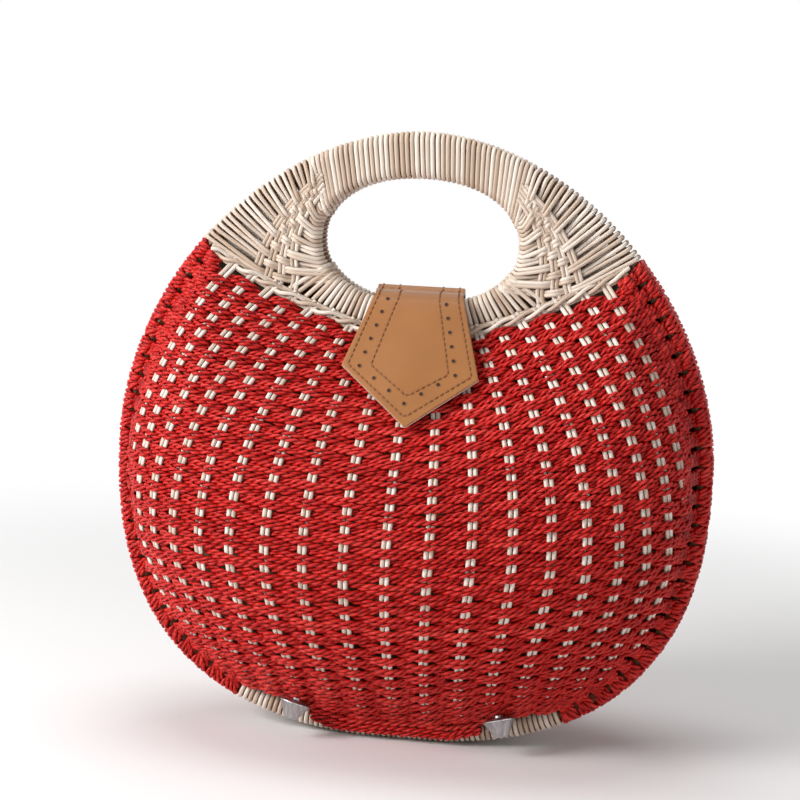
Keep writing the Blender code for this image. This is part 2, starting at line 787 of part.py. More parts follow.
def make_feet(side, made):
    forward = foot_forward()
    top = FOOT_HEIGHT + foot_stem_length(forward)
    profile = [
        (FOOT_BASE_RADIUS, 0.0),
        (FOOT_TOP_RADIUS, FOOT_HEIGHT - FOOT_LIP),
        (FOOT_TOP_RADIUS, FOOT_HEIGHT),
        (FOOT_STEM_RADIUS, FOOT_HEIGHT),
        (FOOT_STEM_RADIUS, top),
    ]
    for hand, flip in (("right", 1.0), ("left", -1.0)):
        foot = lathe(side_name(side, "foot_" + hand), profile, made["polished_metal"], 12)
        foot.location = (flip * FOOT_ACROSS, side * forward, FOOT_BASE_HEIGHT)


# Pieces that join or close the halves

def make_binding(made):
    """Reed binding around both hoops along the bottom. The front hoop turns in it."""
    points = binding_path()
    stations = []
    beside = Vector((0.0, 1.0, 0.0))
    for point, along in zip(points, outward_axes(points)):
        stations.append((point, beside, along, BINDING_HALF_DEPTH, RIM_RADIUS))
    sleeve("bottom_binding", stations, made["natural_reed"])


def crest_height():
    """Height of the leather's middle where it lies over the hand rings."""
    points = ring_wrap_path(RING_WRAP_POINTS)
    edge = [point + along * RIM_RADIUS for point, along in zip(points, outward_axes(points))]
    for right, left in zip(edge, edge[1:]):
        if right.z < HOLE_HEIGHT and right.x >= FLAP_HALF_WIDTH_TOP > left.x:
            ring_top = max(right.z, left.z)
    return ring_top + SEAT_GAP + FLAP_THICKNESS / 2


def bend_point():
    """Where the lines of the leather's level part and its slope would meet."""
    return Vector((0.0, -(HOOP_DEPTH + RIM_RADIUS + FLAP_THICKNESS), crest_height()))


def flap_direction(slope):
    return Vector((0.0, -math.cos(slope), -math.sin(slope)))


def flap_outward(slope):
    return Vector((0.0, -math.sin(slope), math.cos(slope)))


def flap_slope():
    """Steepest slope, from the bend down, at which the flap and its snap clear the weave's ribs."""
    bend = bend_point()
    stack = 2 * SNAP_THICKNESS + 4 * SEAT_GAP
    slope = math.radians(85.0)
    while slope > 0.0:
        along, outward = flap_direction(slope), flap_outward(slope)
        inner = bend - outward * FLAP_THICKNESS / 2
        spare = []
        for distance in (FLAP_WIDEST_AT, (FLAP_WIDEST_AT + FLAP_LENGTH) / 2, FLAP_LENGTH):
            for across in (0.0, flap_half_width(distance)):
                probe = inner + along * distance
                probe.x = across
                spare.append(weave_gap(probe) - FLAP_PLAY)
        for reach in (-SNAP_RADIUS, SNAP_RADIUS):
            spare.append(weave_gap(inner + along * (SNAP_FROM_BEND + reach)) - stack)
        if min(spare) > 0.0:
            break
        slope -= math.radians(0.1)
    return slope


def make_strap(made):
    """Leather strap sewn to the back half and laid over its hand ring."""
    half = FLAP_THICKNESS / 2
    crest = crest_height()
    tail_high = border_height(FLAP_HALF_WIDTH_TOP)
    middle = [(SEAT_GAP, crest)]
    middle.append((HOOP_DEPTH + RIM_RADIUS, crest))
    for step in range(1, 4):
        height = tail_high - STRAP_TAIL * step / 3
        reach = dome_depth(FLAP_HALF_WIDTH_TOP, height)
        normal = dome_normal(FLAP_HALF_WIDTH_TOP, height)
        rib = rib_lift(0, FLAP_HALF_WIDTH_TOP, height)
        lift = WEAVE_THICKNESS / 2 + rib + 3 * SEAT_GAP + half
        middle.append((reach - normal.y * lift, height + normal.z * lift))
    upper, lower = [], []
    for index, (y, z) in enumerate(middle):
        before = middle[max(index - 1, 0)]
        after = middle[min(index + 1, len(middle) - 1)]
        run = Vector((after[0] - before[0], after[1] - before[1])).normalized()
        upper.append((y - run.y * half, z + run.x * half))
        lower.append((y + run.y * half, z - run.x * half))
    extruded_profile("flap_strap", upper + lower[::-1], FLAP_HALF_WIDTH_TOP, made["tan_leather"])


def flap_half_width(distance):
    """Half width of the flap's five-sided outline at a distance from the bend."""
    if distance <= FLAP_WIDEST_AT:
        share = max(distance, 0.0) / FLAP_WIDEST_AT
        return FLAP_HALF_WIDTH_TOP + (FLAP_HALF_WIDTH - FLAP_HALF_WIDTH_TOP) * share ** 1.2
    share = (distance - FLAP_WIDEST_AT) / (FLAP_LENGTH - FLAP_WIDEST_AT)
    return FLAP_HALF_WIDTH + (FLAP_TIP_HALF_WIDTH - FLAP_HALF_WIDTH) * share


def make_flap(made):
    """Leather flap over the front hand ring, with its snap. It turns on the edge of the strap."""
    half = FLAP_THICKNESS / 2
    slope = flap_slope()
    along, outward = flap_direction(slope), flap_outward(slope)
    bend = bend_point()
    level_end = bend + Vector((0.0, FLAP_BEND_RADIUS, 0.0))
    points = [Vector((0.0, -SEAT_GAP, bend.z)), level_end]
    points.append((level_end + bend * 2 + bend + along * FLAP_BEND_RADIUS) / 4)
    up = Vector((0.0, 0.0, 1.0))
    normals = [up, up, (up + outward).normalized()]
    widths = [FLAP_HALF_WIDTH_TOP] * 3
    stops = [FLAP_BEND_RADIUS, FLAP_WIDEST_AT / 2, FLAP_WIDEST_AT - half, FLAP_WIDEST_AT + half, FLAP_LENGTH]
    for distance in stops:
        points.append(bend + along * distance)
        normals.append(outward)
        widths.append(flap_half_width(distance))
    bm = bmesh.new()
    bar(bm, points, widths, normals, half)
    new_object("flap_leather", finish_mesh(bm, "flap_leather"), made["tan_leather"])
    disc = [(SNAP_RADIUS, 0.0), (SNAP_RADIUS, SNAP_THICKNESS)]
    male = lathe("snap_male", disc, made["polished_metal"], 12)
    male.location = bend + along * SNAP_FROM_BEND - outward * (half + SEAT_GAP / 3)
    male.rotation_euler = (slope + math.pi, 0.0, 0.0)


def make_snap_socket(made):
    """Socket disc of the snap, standing on the front weave under the flap's disc."""
    slope = flap_slope()
    along, outward = flap_direction(slope), flap_outward(slope)
    face = bend_point() + along * SNAP_FROM_BEND
    face = face - outward * (FLAP_THICKNESS / 2 + SEAT_GAP + SNAP_THICKNESS + SEAT_GAP)
    foot_radius = SNAP_RADIUS * 0.55
    reach = 0.0
    while reach < LONGEST_SEAT:
        probes = [face - outward * reach + along * offset for offset in (-foot_radius, 0.0, foot_radius)]
        if min(weave_gap(probe) for probe in probes) < 2 * SEAT_GAP:
            break
        reach += 0.05 * MM
    profile = [(foot_radius, -max(reach, 1.5 * SNAP_THICKNESS)), (SNAP_RADIUS, -SNAP_THICKNESS), (SNAP_RADIUS, 0.0)]
    socket = lathe("snap_socket", profile, made["polished_metal"], 12)
    socket.location = face
    socket.rotation_euler = (slope, 0.0, 0.0)


def make_gussets(made):
    """Folded cloth at each side that joins the two linings."""
    inward = LINING_THICKNESS + SEAT_GAP
    low = WIDEST_HEIGHT - GUSSET_BELOW_WIDEST
    high = WIDEST_HEIGHT + GUSSET_ABOVE_WIDEST
    edges = [row[-1] for row in lining_points() if low < row[-1].z < high]
    for hand, flip in (("right", 1.0), ("left", -1.0)):
        grid = []
        for edge in edges:
            root = edge.x - inward
            grid.append([
                Vector((flip * root, edge.y, edge.z)),
                Vector((flip * (root - GUSSET_FOLD), 0.0, edge.z)),
                Vector((flip * root, -edge.y, edge.z)),
            ])
        sheet_from_grid("gusset_" + hand, grid, LINING_THICKNESS, made["khaki_cloth"])


def build():
    clear_scene()
    made = make_materials()
    for side in (FRONT, BACK):
        make_hoops(side, made)
        make_rim_wraps(side, made)
        make_handle_grip(side, made)
        make_ring_wrap(side, made)
        make_shoulder_panels(side, made)
        make_weave(side, made)
        make_stake_fan(side, made)
        make_lining(side, made)
        make_feet(side, made)
    make_binding(made)
    make_strap(made)
    make_flap(made)
    make_snap_socket(made)
    make_gussets(made)


build()
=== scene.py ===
"""Looks of the round clamshell straw bag: woven cords, reed wraps, leather, lining and metal."""
import math

import bpy
import numpy as np
from mathutils import Matrix, Vector


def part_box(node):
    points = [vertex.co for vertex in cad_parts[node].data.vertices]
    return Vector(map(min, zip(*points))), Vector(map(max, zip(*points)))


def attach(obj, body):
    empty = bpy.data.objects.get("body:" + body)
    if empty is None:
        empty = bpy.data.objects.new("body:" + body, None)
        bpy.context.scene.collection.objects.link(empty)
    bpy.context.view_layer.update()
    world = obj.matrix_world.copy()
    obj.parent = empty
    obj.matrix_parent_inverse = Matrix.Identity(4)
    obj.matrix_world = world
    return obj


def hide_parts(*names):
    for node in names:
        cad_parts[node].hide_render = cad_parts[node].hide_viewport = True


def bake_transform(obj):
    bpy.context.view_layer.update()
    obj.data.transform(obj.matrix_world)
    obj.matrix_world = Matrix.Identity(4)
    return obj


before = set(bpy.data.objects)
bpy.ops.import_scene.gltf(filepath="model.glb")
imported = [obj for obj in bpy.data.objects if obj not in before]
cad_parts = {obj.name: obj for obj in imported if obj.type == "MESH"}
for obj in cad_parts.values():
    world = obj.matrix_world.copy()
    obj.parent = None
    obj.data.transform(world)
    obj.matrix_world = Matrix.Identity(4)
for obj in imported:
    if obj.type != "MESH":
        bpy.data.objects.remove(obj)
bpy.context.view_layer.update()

MM = 0.001
FRONT = 1.0
BACK = -1.0
HALVES = (("front", FRONT, "front_shell"), ("back", BACK, "back_shell"))
HANDS = (("right", 1.0), ("left", -1.0))
FORWARD = np.array([0.0, -1.0, 0.0])


def in_mm(pairs):
    return [(first * MM, second * MM) for first, second in pairs]


# The outline and the dome, as in the CAD
HALF_WIDTH = 150.0 * MM
WIDEST = 143.0 * MM
TOP = 304.0 * MM
TOP_SQUARE = 1.85
BASE_SQUARE = 2.5
STANDING_FLAT = 20.0 * MM
RIM_RADIUS = 5.5 * MM
HOOP_DEPTH = 6.0 * MM
HANDLE_END = 56.5 * MM
SHOULDER_END = 106.0 * MM
BASE_END = 81.0 * MM
BINDING_END = 50.0 * MM
HOLE_HEIGHT = 249.0 * MM
HOLE_WIDE = 49.0 * MM
HOLE_HIGH = 31.0 * MM
HOLE_SQUARE = 2.15
BORDER_LOW = 201.5 * MM
BORDER_BEND = 1.55
BORDER_DROP = 2.8 * MM
DOME_INSET = 10.02 * MM
EDGE_DEPTH = 11.2 * MM
DOME_RISE = 58.2 * MM
BELLY = 98.0 * MM

# The weave
DOUBLE_ROWS = 27
CORDS = DOUBLE_ROWS * 4
WEAVE_BANDS = 9
PLAN_STEPS = 900
CORD_STEP = 1.05 * MM
CORD_LAY = 9.0 * MM
CORD_WANDER = 0.22 * MM
CORD_SPREAD = 0.22 * MM
PLY_OFFSET = 0.66 * MM
PLY_RADIUS = 0.85 * MM
WEAVE_SWING = 1.75 * MM
WEAVE_END_INSET = 11.6 * MM
BUNDLE_LENGTH = 13.0 * MM
BUNDLE_STEP = 0.7 * MM
STAKES = 9
STAKE_ANGLE = math.radians(8.05)
STAKE_TOP_SPACING = 10.2 * MM
STAKE_TOP_LIMIT = 101.0 * MM
STAKE_MIDDLE = 106.0 * MM

# Hem cords over the binding, as depth and height
HEM_CORDS = in_mm(((13.6, 11.4), (14.3, 9.0), (14.2, 6.6), (13.9, 4.4)))
HEM_HALF_WIDTH = 43.0 * MM

# A rim wrap's tail on the weave (inset, lift, extra lift of every other cord) and its turns around the
# hoop (degrees). The last number is how much of its own distance from its bundle's middle it keeps
RIM_WRAP_RING = 4.1 * MM
RIM_WRAP_SCALE = 1.16
RIM_WRAP_TAIL = ((15.5, -0.6, 0.0, 0.72), (13.0, 0.7, 0.5, 0.64), (10.4, 1.5, 0.5, 0.60))
RIM_WRAP_TURNS = ((118, 0.66), (92, 0.76), (62, 0.90), (28, 1.0), (-10, 1.0), (-50, 1.0), (-95, 1.0),
                  (-130, 1.0))

# Reed wraps
REED_RADIUS = 1.2 * MM
GRIP_REED = 1.24 * MM
GRIP_WRAPS = 45
GRIP_LEAN = 0.35
GRIP_END_AT_HOLE = 47.6 * MM
WRAP_PITCH = 2.62 * MM
BASE_WRAP_PITCH = 2.6 * MM
WRAP_GAP = 0.4 * MM
RING_CORNER = 0.181
SHORTEST_BAND = 12.8 * MM
LONGEST_BAND = 27.0 * MM
BINDING_HALF_DEPTH = 12.2 * MM
BORDER_REACH = 104.0 * MM

# Shoulders. A column is the share of the way from the rim to the hand ring
SHOULDER_PAIRS = 11
SHOULDER_LANDINGS = 19
SHOULDER_COLUMNS = (0.38, 0.49, 0.60, 0.73)
SHOULDER_TURNS = (-120, -70, -20, 30, 75)
SHOULDER_RING = 4.35 * MM
SHOULDER_SAG = 7.5 * MM
PAIR_HALF = 1.1 * MM
OVER_UNDER = 1.35 * MM
LANDING_POWER = 1.05

# Cloth and feet
CLOTH_THICKNESS = 0.8 * MM
LINING_UNDER_DOME = 5.2 * MM
LINING_TOP_ROWS = in_mm(((10.0, 2.6), (6.0, 2.4), (3.0, 2.0), (0.0, 1.4), (0.0, 0.7)))
GUSSET_FOLD = 12.0 * MM
GUSSET_REACH = 7.2 * MM
GUSSET_LOW = 66.0 * MM
GUSSET_HIGH = 202.0 * MM
GUSSET_ROOT_INSET = 22.8 * MM
FOOT_ACROSS = 51.0 * MM
FOOT_SHIFT = 1.8 * MM
FOOT_RISE = 8.2 * MM
FOOT_PIVOT = 7.0 * MM
FOOT_SPLAY = math.radians(-14.0)
FOOT_LEAN = math.radians(15.0)
FOOT_SIDES = 20
FOOT_PROFILE = in_mm(((3.0, 0.0), (3.5, 0.15), (3.8, 0.6), (5.0, 3.0), (6.4, 5.6), (7.5, 7.2), (7.9, 7.4),
                      (8.1, 7.7), (8.1, 8.1), (7.8, 8.3), (5.4, 8.5), (3.4, 8.9), (2.2, 9.4), (1.9, 10.3)))

# Leather. A place on it is (across, distance down from the bend)
STRAP_HALF = 22.0 * MM
STRAP_CORNER = 3.0 * MM
FLAP_SLOPE = math.radians(59.4)
FLAP_BEND = (-13.5 * MM, 223.23 * MM)
FLAP_ROUND = 6.0 * MM
FLAP_CORNERS = in_mm(((-19.9, 0.9), (24.6, 1.9), (36.1, 44.1), (3.4, 70.8), (-31.6, 40.3)))
OUTER_SEAM = in_mm(((-18.2, -10.0), (-18.0, 2.0), (-28.3, 40.1), (2.6, 66.4), (32.5, 42.9), (22.1, 4.5),
                    (20.5, -10.0)))
INNER_SEAM = in_mm(((-8.2, -10.0), (-7.8, 2.5), (-16.9, 40.1), (2.5, 55.7), (21.3, 42.6), (12.5, 4.0),
                    (11.5, -10.0)))
HOLE_LINE = in_mm(((-13.1, 3.8), (-22.4, 40.8), (1.9, 59.4), (24.8, 42.8), (16.3, 5.2)))
HOLES_PER_EDGE = (5, 3, 3, 5)
STRAP_HOLE_PITCH = 7.3 * MM
LEATHER_TOP = 1.0 * MM
STITCH_PITCH = 3.0 * MM
STITCH_SHAPE = ((0.20, -0.12), (0.34, 0.06), (0.5, 0.12), (0.66, 0.06), (0.80, -0.12))
NEEDLE_HOLES = (0.22, 0.78)

# Colours
CORD_REDS = ((0.50, 0.006, 0.004), (0.64, 0.013, 0.009), (0.82, 0.050, 0.038))
# Near black red painted into the cords' grooves as shade, where one ply shades the other
PAINTED_GROOVE_SHADE = (0.08, 0.0008, 0.0006, 1.0)
REED_TONES = ((0.46, 0.33, 0.235), (0.66, 0.54, 0.44), (0.82, 0.73, 0.64))
# The stakes' reed tones, painted paler than the other reeds as if lit
LIT_STAKE_TONES = ((0.62, 0.50, 0.40), (0.78, 0.69, 0.60), (0.88, 0.82, 0.75))
REED_KNOT = (0.40, 0.25, 0.14, 1.0)
# Brown painted on the reeds' flanks as shade from the next reed
REED_FLANK_SHADE = (0.19, 0.085, 0.034, 1.0)
LEATHER_TONES = ((0.285, 0.108, 0.026), (0.335, 0.133, 0.034))
CLOTH_TONES = ((0.155, 0.118, 0.070), (0.235, 0.185, 0.115))
CLOTH_THREADS = (0.30, 0.245, 0.165, 1.0)
METAL_TONES = ((0.34, 0.34, 0.35), (0.58, 0.58, 0.59))

RNG = np.random.default_rng(7)


# Outline curves. A point is (x, z)

def squircle(share, square):
    return (1.0 - np.clip(np.abs(share), 0.0, 1.0) ** square) ** (1.0 / square)


def rim_height(x, inset, upper):
    half = HALF_WIDTH - inset
    if upper:
        return WIDEST + (TOP - WIDEST - inset) * squircle(x / half, TOP_SQUARE)
    rise = (WIDEST - inset) / squircle(STANDING_FLAT / half, BASE_SQUARE)
    return np.maximum(WIDEST - rise * squircle(x / half, BASE_SQUARE), inset)


def rim_angle(x, inset, upper):
    square = TOP_SQUARE if upper else BASE_SQUARE
    angle = math.acos((x / (HALF_WIDTH - inset)) ** (square / 2.0))
    return angle if upper else -angle


def rim_points(start, end, inset, count=700):
    angle = np.linspace(start, end, count)
    cosine = np.cos(angle)
    upper = np.sin(angle) >= 0.0
    square = np.where(upper, TOP_SQUARE, BASE_SQUARE)
    x = np.sign(cosine) * (HALF_WIDTH - inset) * np.abs(cosine) ** (2.0 / square)
    z = np.where(upper, rim_height(x, inset, True), rim_height(x, inset, False))
    return np.column_stack([x, z])


def rim_part(first_x, first_upper, last_x, last_upper, inset=RIM_RADIUS):
    """Outline on the right between two distances from the middle, each on the upper or lower arc."""
    return rim_points(rim_angle(first_x, inset, first_upper), rim_angle(last_x, inset, last_upper), inset)


def side_path(inset):
    """Outline of the woven side on the right, from the shoulder to the base."""
    return rim_part(SHOULDER_END, True, BASE_END, False, inset)


def hole_points(start, end, outset, count=500):
    angle = np.linspace(start, end, count)
    power = 2.0 / HOLE_SQUARE
    cosine, sine = np.cos(angle), np.sin(angle)
    x = np.sign(cosine) * (HOLE_WIDE + outset) * np.abs(cosine) ** power
    z = HOLE_HEIGHT + np.sign(sine) * (HOLE_HIGH + outset) * np.abs(sine) ** power
    return np.column_stack([x, z])


def hole_angle(x, outset):
    return math.acos((x / (HOLE_WIDE + outset)) ** (HOLE_SQUARE / 2.0))


def unit(vectors):
    return vectors / (np.linalg.norm(vectors, axis=-1, keepdims=True) + 1e-12)


def lengths(points):
    steps = np.linalg.norm(np.diff(points, axis=0), axis=1)
    return np.concatenate([[0.0], np.cumsum(steps)])


def along(points, shares):
    """Points at shares of a polyline's length."""
    run = lengths(points)
    target = np.asarray(shares) * run[-1]
    columns = [np.interp(target, run, points[:, k]) for k in range(points.shape[1])]
    return np.column_stack(columns)


def at(points, share):
    return along(points, [share])[0]


def direction(points, share):
    """Unit tangent at a share of a polyline."""
    step = 0.002
    return unit(at(points, min(share + step, 1.0)) - at(points, max(share - step, 0.0)))


def border_height(x):
    junction = rim_height(SHOULDER_END, RIM_RADIUS, True)
    share = np.clip(np.abs(x) / SHOULDER_END, 0.0, 1.0)
    return BORDER_LOW + (junction - BORDER_LOW) * share ** BORDER_BEND


# The dome's surface

def dome_depth(x, z):
    half = HALF_WIDTH - DOME_INSET
    low = rim_height(x, DOME_INSET, False)
    edge = rim_height(x, DOME_INSET, True)
    under_border = np.minimum(border_height(x) - BORDER_DROP, edge)
    high = np.where(np.abs(x) >= SHOULDER_END, edge, under_border)
    sideways = np.clip(np.abs(x) / half, 0.0, 1.0)
    belly = BELLY + (WIDEST - BELLY) * sideways ** 4
    up = np.clip((z - belly) / np.maximum(high - belly, MM), 0.0, 1.0)
    down = np.clip((belly - z) / np.maximum(belly - low, MM), 0.0, 1.0)
    fall = np.where(z >= belly, 1.0 - up ** 1.7, 1.0 - down ** 1.8)
    return EDGE_DEPTH + DOME_RISE * squircle(x / half, 2.2) * fall


def dome_normal(x, z):
    step = 2.0 * MM
    steepest = 2.2
    limit = HALF_WIDTH - DOME_INSET - 2.5 * MM
    x = np.clip(x, -limit, limit)
    dx = (dome_depth(x + step, z) - dome_depth(x - step, z)) / (2 * step)
    dz = (dome_depth(x, z + step) - dome_depth(x, z - step)) / (2 * step)
    dx = np.clip(dx, -steepest, steepest)
    dz = np.clip(dz, -steepest, steepest)
    return unit(np.stack([-dx, -np.ones_like(dx), -dz], axis=-1))


def dome_point(x, z, offset):
    """Points of the front dome, moved outwards by the offset."""
    points = np.stack([x, -dome_depth(x, z), z], axis=-1)
    return points + dome_normal(x, z) * np.asarray(offset)[..., None]


def stake_across(number, z):
    """Distance of a stake from the middle at a height. The number may be a fraction."""
    middle = (HALF_WIDTH - RIM_RADIUS) * np.sin(STAKE_ANGLE * number)
    top_x = np.minimum(STAKE_TOP_SPACING * number, STAKE_TOP_LIMIT)
    top_z = border_height(top_x)
    up = np.clip((z - STAKE_MIDDLE) / (top_z - STAKE_MIDDLE), 0.0, 1.15)
    down = np.clip((STAKE_MIDDLE - z) / (92.0 * MM), 0.0, 1.1)
    upper = middle + (top_x - middle) * up ** 2.2
    lower = middle * (1.0 - 0.2 * (3.0 * down ** 2 - 2.0 * down ** 3))
    return np.where(z >= STAKE_MIDDLE, upper, lower)


STAKE_STEPS = np.linspace(0.0, 10.6, 107)
HEIGHT_STEPS = np.linspace(0.0, 260.0 * MM, 131)
STAKE_TABLE = np.array([stake_across(STAKE_STEPS, z) for z in HEIGHT_STEPS])
STAKE_TABLE = np.maximum.accumulate(STAKE_TABLE + STAKE_STEPS * 1e-7, axis=1)


def stake_number(x, z):
    """How many stakes from the middle a point is, as a fraction."""
    place = np.clip(z / (HEIGHT_STEPS[1] - HEIGHT_STEPS[0]), 0, len(HEIGHT_STEPS) - 1.001)
    index = place.astype(int)
    share = place - index
    result = np.empty_like(x)
    for i in range(len(x)):
        row = STAKE_TABLE[index[i]] * (1.0 - share[i]) + STAKE_TABLE[index[i] + 1] * share[i]
        result[i] = np.interp(abs(x[i]), row, STAKE_STEPS)
    return result


# Tubes

def drift(places, knots, size):
    """Smooth random shift along a strand."""
    return np.interp(places, np.linspace(places[0], places[-1], knots), RNG.normal(0.0, size, knots))


def cord_steps(points):
    return int(lengths(points)[-1] / CORD_STEP)


def spline(points, count):
    """Smooth curve through points, evenly sampled."""
    points = np.asarray(points, float)
    padded = np.vstack([2 * points[0] - points[1], points, 2 * points[-1] - points[-2]])
    fine = []
    share = np.linspace(0.0, 1.0, 12, endpoint=False)[:, None]
    for index in range(1, len(padded) - 2):
        before, first, second, after = padded[index - 1:index + 3]
        fine.append(0.5 * (2 * first + (second - before) * share
                           + (2 * before - 5 * first + 4 * second - after) * share ** 2
                           + (3 * first - before - 3 * second + after) * share ** 3))
    fine.append(points[-1:])
    return along(np.vstack(fine), np.linspace(0.0, 1.0, count))


def frames(points, normals, closed=False):
    """Lift and sideways axes along a tube's path."""
    normals = np.broadcast_to(np.asarray(normals, float), points.shape)
    if closed:
        tangent = unit(np.roll(points, -1, axis=0) - np.roll(points, 1, axis=0))
    else:
        tangent = unit(np.gradient(points, axis=0))
    beside = unit(np.cross(tangent, normals))
    return np.cross(beside, tangent), beside


class Strands:
    """Many tubes gathered into one mesh."""

    def __init__(self):
        self.verts, self.faces, self.uvs, self.tones, self.ridges = [], [], [], [], []
        self.count = 0

    def add(self, points, normals, radius, side=FRONT, sides=8, closed=False, tone=None, groove=None):
        """One tube. The groove is the angle, ring by ring, of the side that faces another ply."""
        points = np.asarray(points, float)
        lift, beside = frames(points, normals, closed)
        rings = len(points)
        turn = math.pi + math.tau * np.arange(sides) / sides
        around = np.cos(turn)[:, None] * lift[:, None, :] + np.sin(turn)[:, None] * beside[:, None, :]
        ring = points[:, None, :] + radius * around
        # The ridge share is 0 on the side that faces the other ply; the red cord's look paints shade there
        ridge = np.ones((rings, sides))
        if groove is not None:
            ridge = 0.5 - 0.5 * np.cos(turn - groove[:, None])
        a = np.arange(rings * sides).reshape(rings, sides) + self.count
        d = np.roll(a, -1, axis=0)
        if not closed:
            a, d = a[:-1], d[:-1]
        b, c = np.roll(a, -1, axis=1), np.roll(d, -1, axis=1)
        faces = np.stack([a, b, c, a, c, d], -1).reshape(-1, 3)
        if side == BACK:
            ring[:, :, 1] *= -1.0
            faces = faces[:, ::-1]
        run = np.repeat(lengths(points)[:, None], sides, 1)
        uv = np.stack([run, np.tile(np.arange(sides) / sides, (rings, 1))], -1)
        if tone is None:
            tone = RNG.random()
        self.verts.append(ring.reshape(-1, 3))
        self.faces.append(faces)
        self.uvs.append(uv.reshape(-1, 2))
        self.tones.append(np.full(rings * sides, tone))
        self.ridges.append(ridge.reshape(-1))
        self.count += rings * sides

    def add_wrap(self, loop, centre, radius, side=FRONT):
        """Closed turn of reed around a centre."""
        self.add(loop, loop - centre, radius, side, closed=True)

    def add_cord(self, points, normals, side, scale=1.0):
        """Two plies of paper cord twisted around each other."""
        lift, beside = frames(points, normals)
        start = RNG.random() * math.tau
        loose = drift(np.linspace(0.0, 1.0, len(points)), 9, 0.5)
        tone = RNG.random()
        for half in (0.0, math.pi):
            turn = start + half - (math.tau * lengths(points) / CORD_LAY + loose)
            offset = np.cos(turn)[:, None] * lift + np.sin(turn)[:, None] * beside
            ply_tone = 0.75 * tone + 0.25 * RNG.random()
            self.add(points + offset * (PLY_OFFSET * scale), normals, PLY_RADIUS * scale, side, 5,
                     tone=ply_tone, groove=turn + math.pi)

    def build(self, name, material, body, slot, nodes=()):
        mesh = bpy.data.meshes.new(name)
        verts = np.vstack(self.verts)
        faces = np.vstack(self.faces)
        mesh.vertices.add(len(verts))
        mesh.vertices.foreach_set("co", verts.astype(np.float32).ravel())
        mesh.loops.add(faces.size)
        mesh.loops.foreach_set("vertex_index", faces.astype(np.int32).ravel())
        mesh.polygons.add(len(faces))
        mesh.polygons.foreach_set("loop_start", np.arange(0, faces.size, 3, dtype=np.int32))
        mesh.polygons.foreach_set("use_smooth", np.ones(len(faces), bool))
        mesh.update(calc_edges=True)
        uv = np.vstack(self.uvs)[faces.ravel()]
        layer = mesh.uv_layers.new(name="Strand")
        layer.data.foreach_set("uv", uv.astype(np.float32).ravel())
        for label, values in (("tone", self.tones), ("ridge", self.ridges)):
            attribute = mesh.attributes.new(label, "FLOAT", "POINT")
            attribute.data.foreach_set("value", np.concatenate(values).astype(np.float32))
        mesh.validate()
        finish_piece(name, mesh, material, body, nodes)


# Meshes and pieces

def plain_mesh(name, verts, faces):
    mesh = bpy.data.meshes.new(name)
    mesh.from_pydata([tuple(vert) for vert in verts], [], faces)
    return mesh


def grid_faces(rows, columns):
    """Quads between the points of a grid that is kept row by row."""
    starts = [i * columns + j for i in range(rows - 1) for j in range(columns - 1)]
    return [(a, a + 1, a + 1 + columns, a + columns) for a in starts]


def finish_piece(name, mesh, material, body, nodes=()):
    piece = bpy.data.objects.new(name, mesh)
    bpy.context.scene.collection.objects.link(piece)
    mesh.materials.append(material)
    if body:
        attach(piece, body)
    if nodes:
        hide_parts(*nodes)
    return piece


# Materials

def fill(node, inputs):
    """Set a node's inputs, or link them where another node's output is given."""
    for key, value in inputs.items():
        if isinstance(value, bpy.types.NodeSocket):
            node.id_data.links.new(value, node.inputs[key])
        else:
            node.inputs[key].default_value = value
    return node


def new_node(tree, kind, inputs=None, **settings):
    made = tree.nodes.new("ShaderNode" + kind)
    for key, value in settings.items():
        setattr(made, key, value)
    return fill(made, inputs or {})


class Graph:
    """Short way to write a material's nodes."""

    def __init__(self, name, roughness, specular=0.5, metallic=0.0, sheen=0.0):
        self.material = bpy.data.materials.new(name)
        self.material.use_nodes = True
        self.tree = self.material.node_tree
        inputs = {"Roughness": roughness, "Specular IOR Level": specular, "Metallic": metallic,
                  "Sheen Weight": sheen}
        self.shader = fill(self.tree.nodes["Principled BSDF"], inputs)

    def node(self, kind, inputs=None, **settings):
        return new_node(self.tree, kind, inputs, **settings)

    def position(self):
        return self.node("TexCoord").outputs["Object"]

    def strand_uv(self):
        return self.node("UVMap", uv_map="Strand").outputs["UV"]

    def attribute(self, name):
        return self.node("Attribute", attribute_name=name).outputs["Fac"]

    def math(self, operation, first, second=0.0):
        return self.node("Math", {0: first, 1: second}, operation=operation).outputs[0]

    def average(self, first, second):
        return self.math("MULTIPLY", self.math("ADD", first, second), 0.5)

    def noise(self, vector, scale, detail, stretch=None):
        if stretch:
            vector = self.node("Mapping", {"Vector": vector, "Scale": stretch}).outputs["Vector"]
        return self.node("TexNoise", {"Vector": vector, "Scale": scale, "Detail": detail}).outputs["Fac"]

    def mix(self, share, first, second):
        inputs = {"Factor": share, "A": first, "B": second}
        return self.node("Mix", inputs, data_type="RGBA").outputs["Result"]

    def ramp(self, share, colours, margin=0.3):
        """Colours at even places between the margin and its mirror image."""
        made = self.node("ValToRGB", {"Fac": share})
        elements = made.color_ramp.elements
        while len(elements) < len(colours):
            elements.new(0.5)
        for element, place, colour in zip(elements, np.linspace(margin, 1.0 - margin, len(colours)), colours):
            element.position = place
            element.color = (*colour, 1.0)
        return made.outputs["Color"]

    def finish(self, colour, height, strength, distance):
        """Give the shader its colour and its bumps."""
        bump = self.node("Bump", {"Strength": strength, "Distance": distance, "Height": height})
        fill(self.shader, {"Base Color": colour, "Normal": bump.outputs["Normal"]})
        return self.material


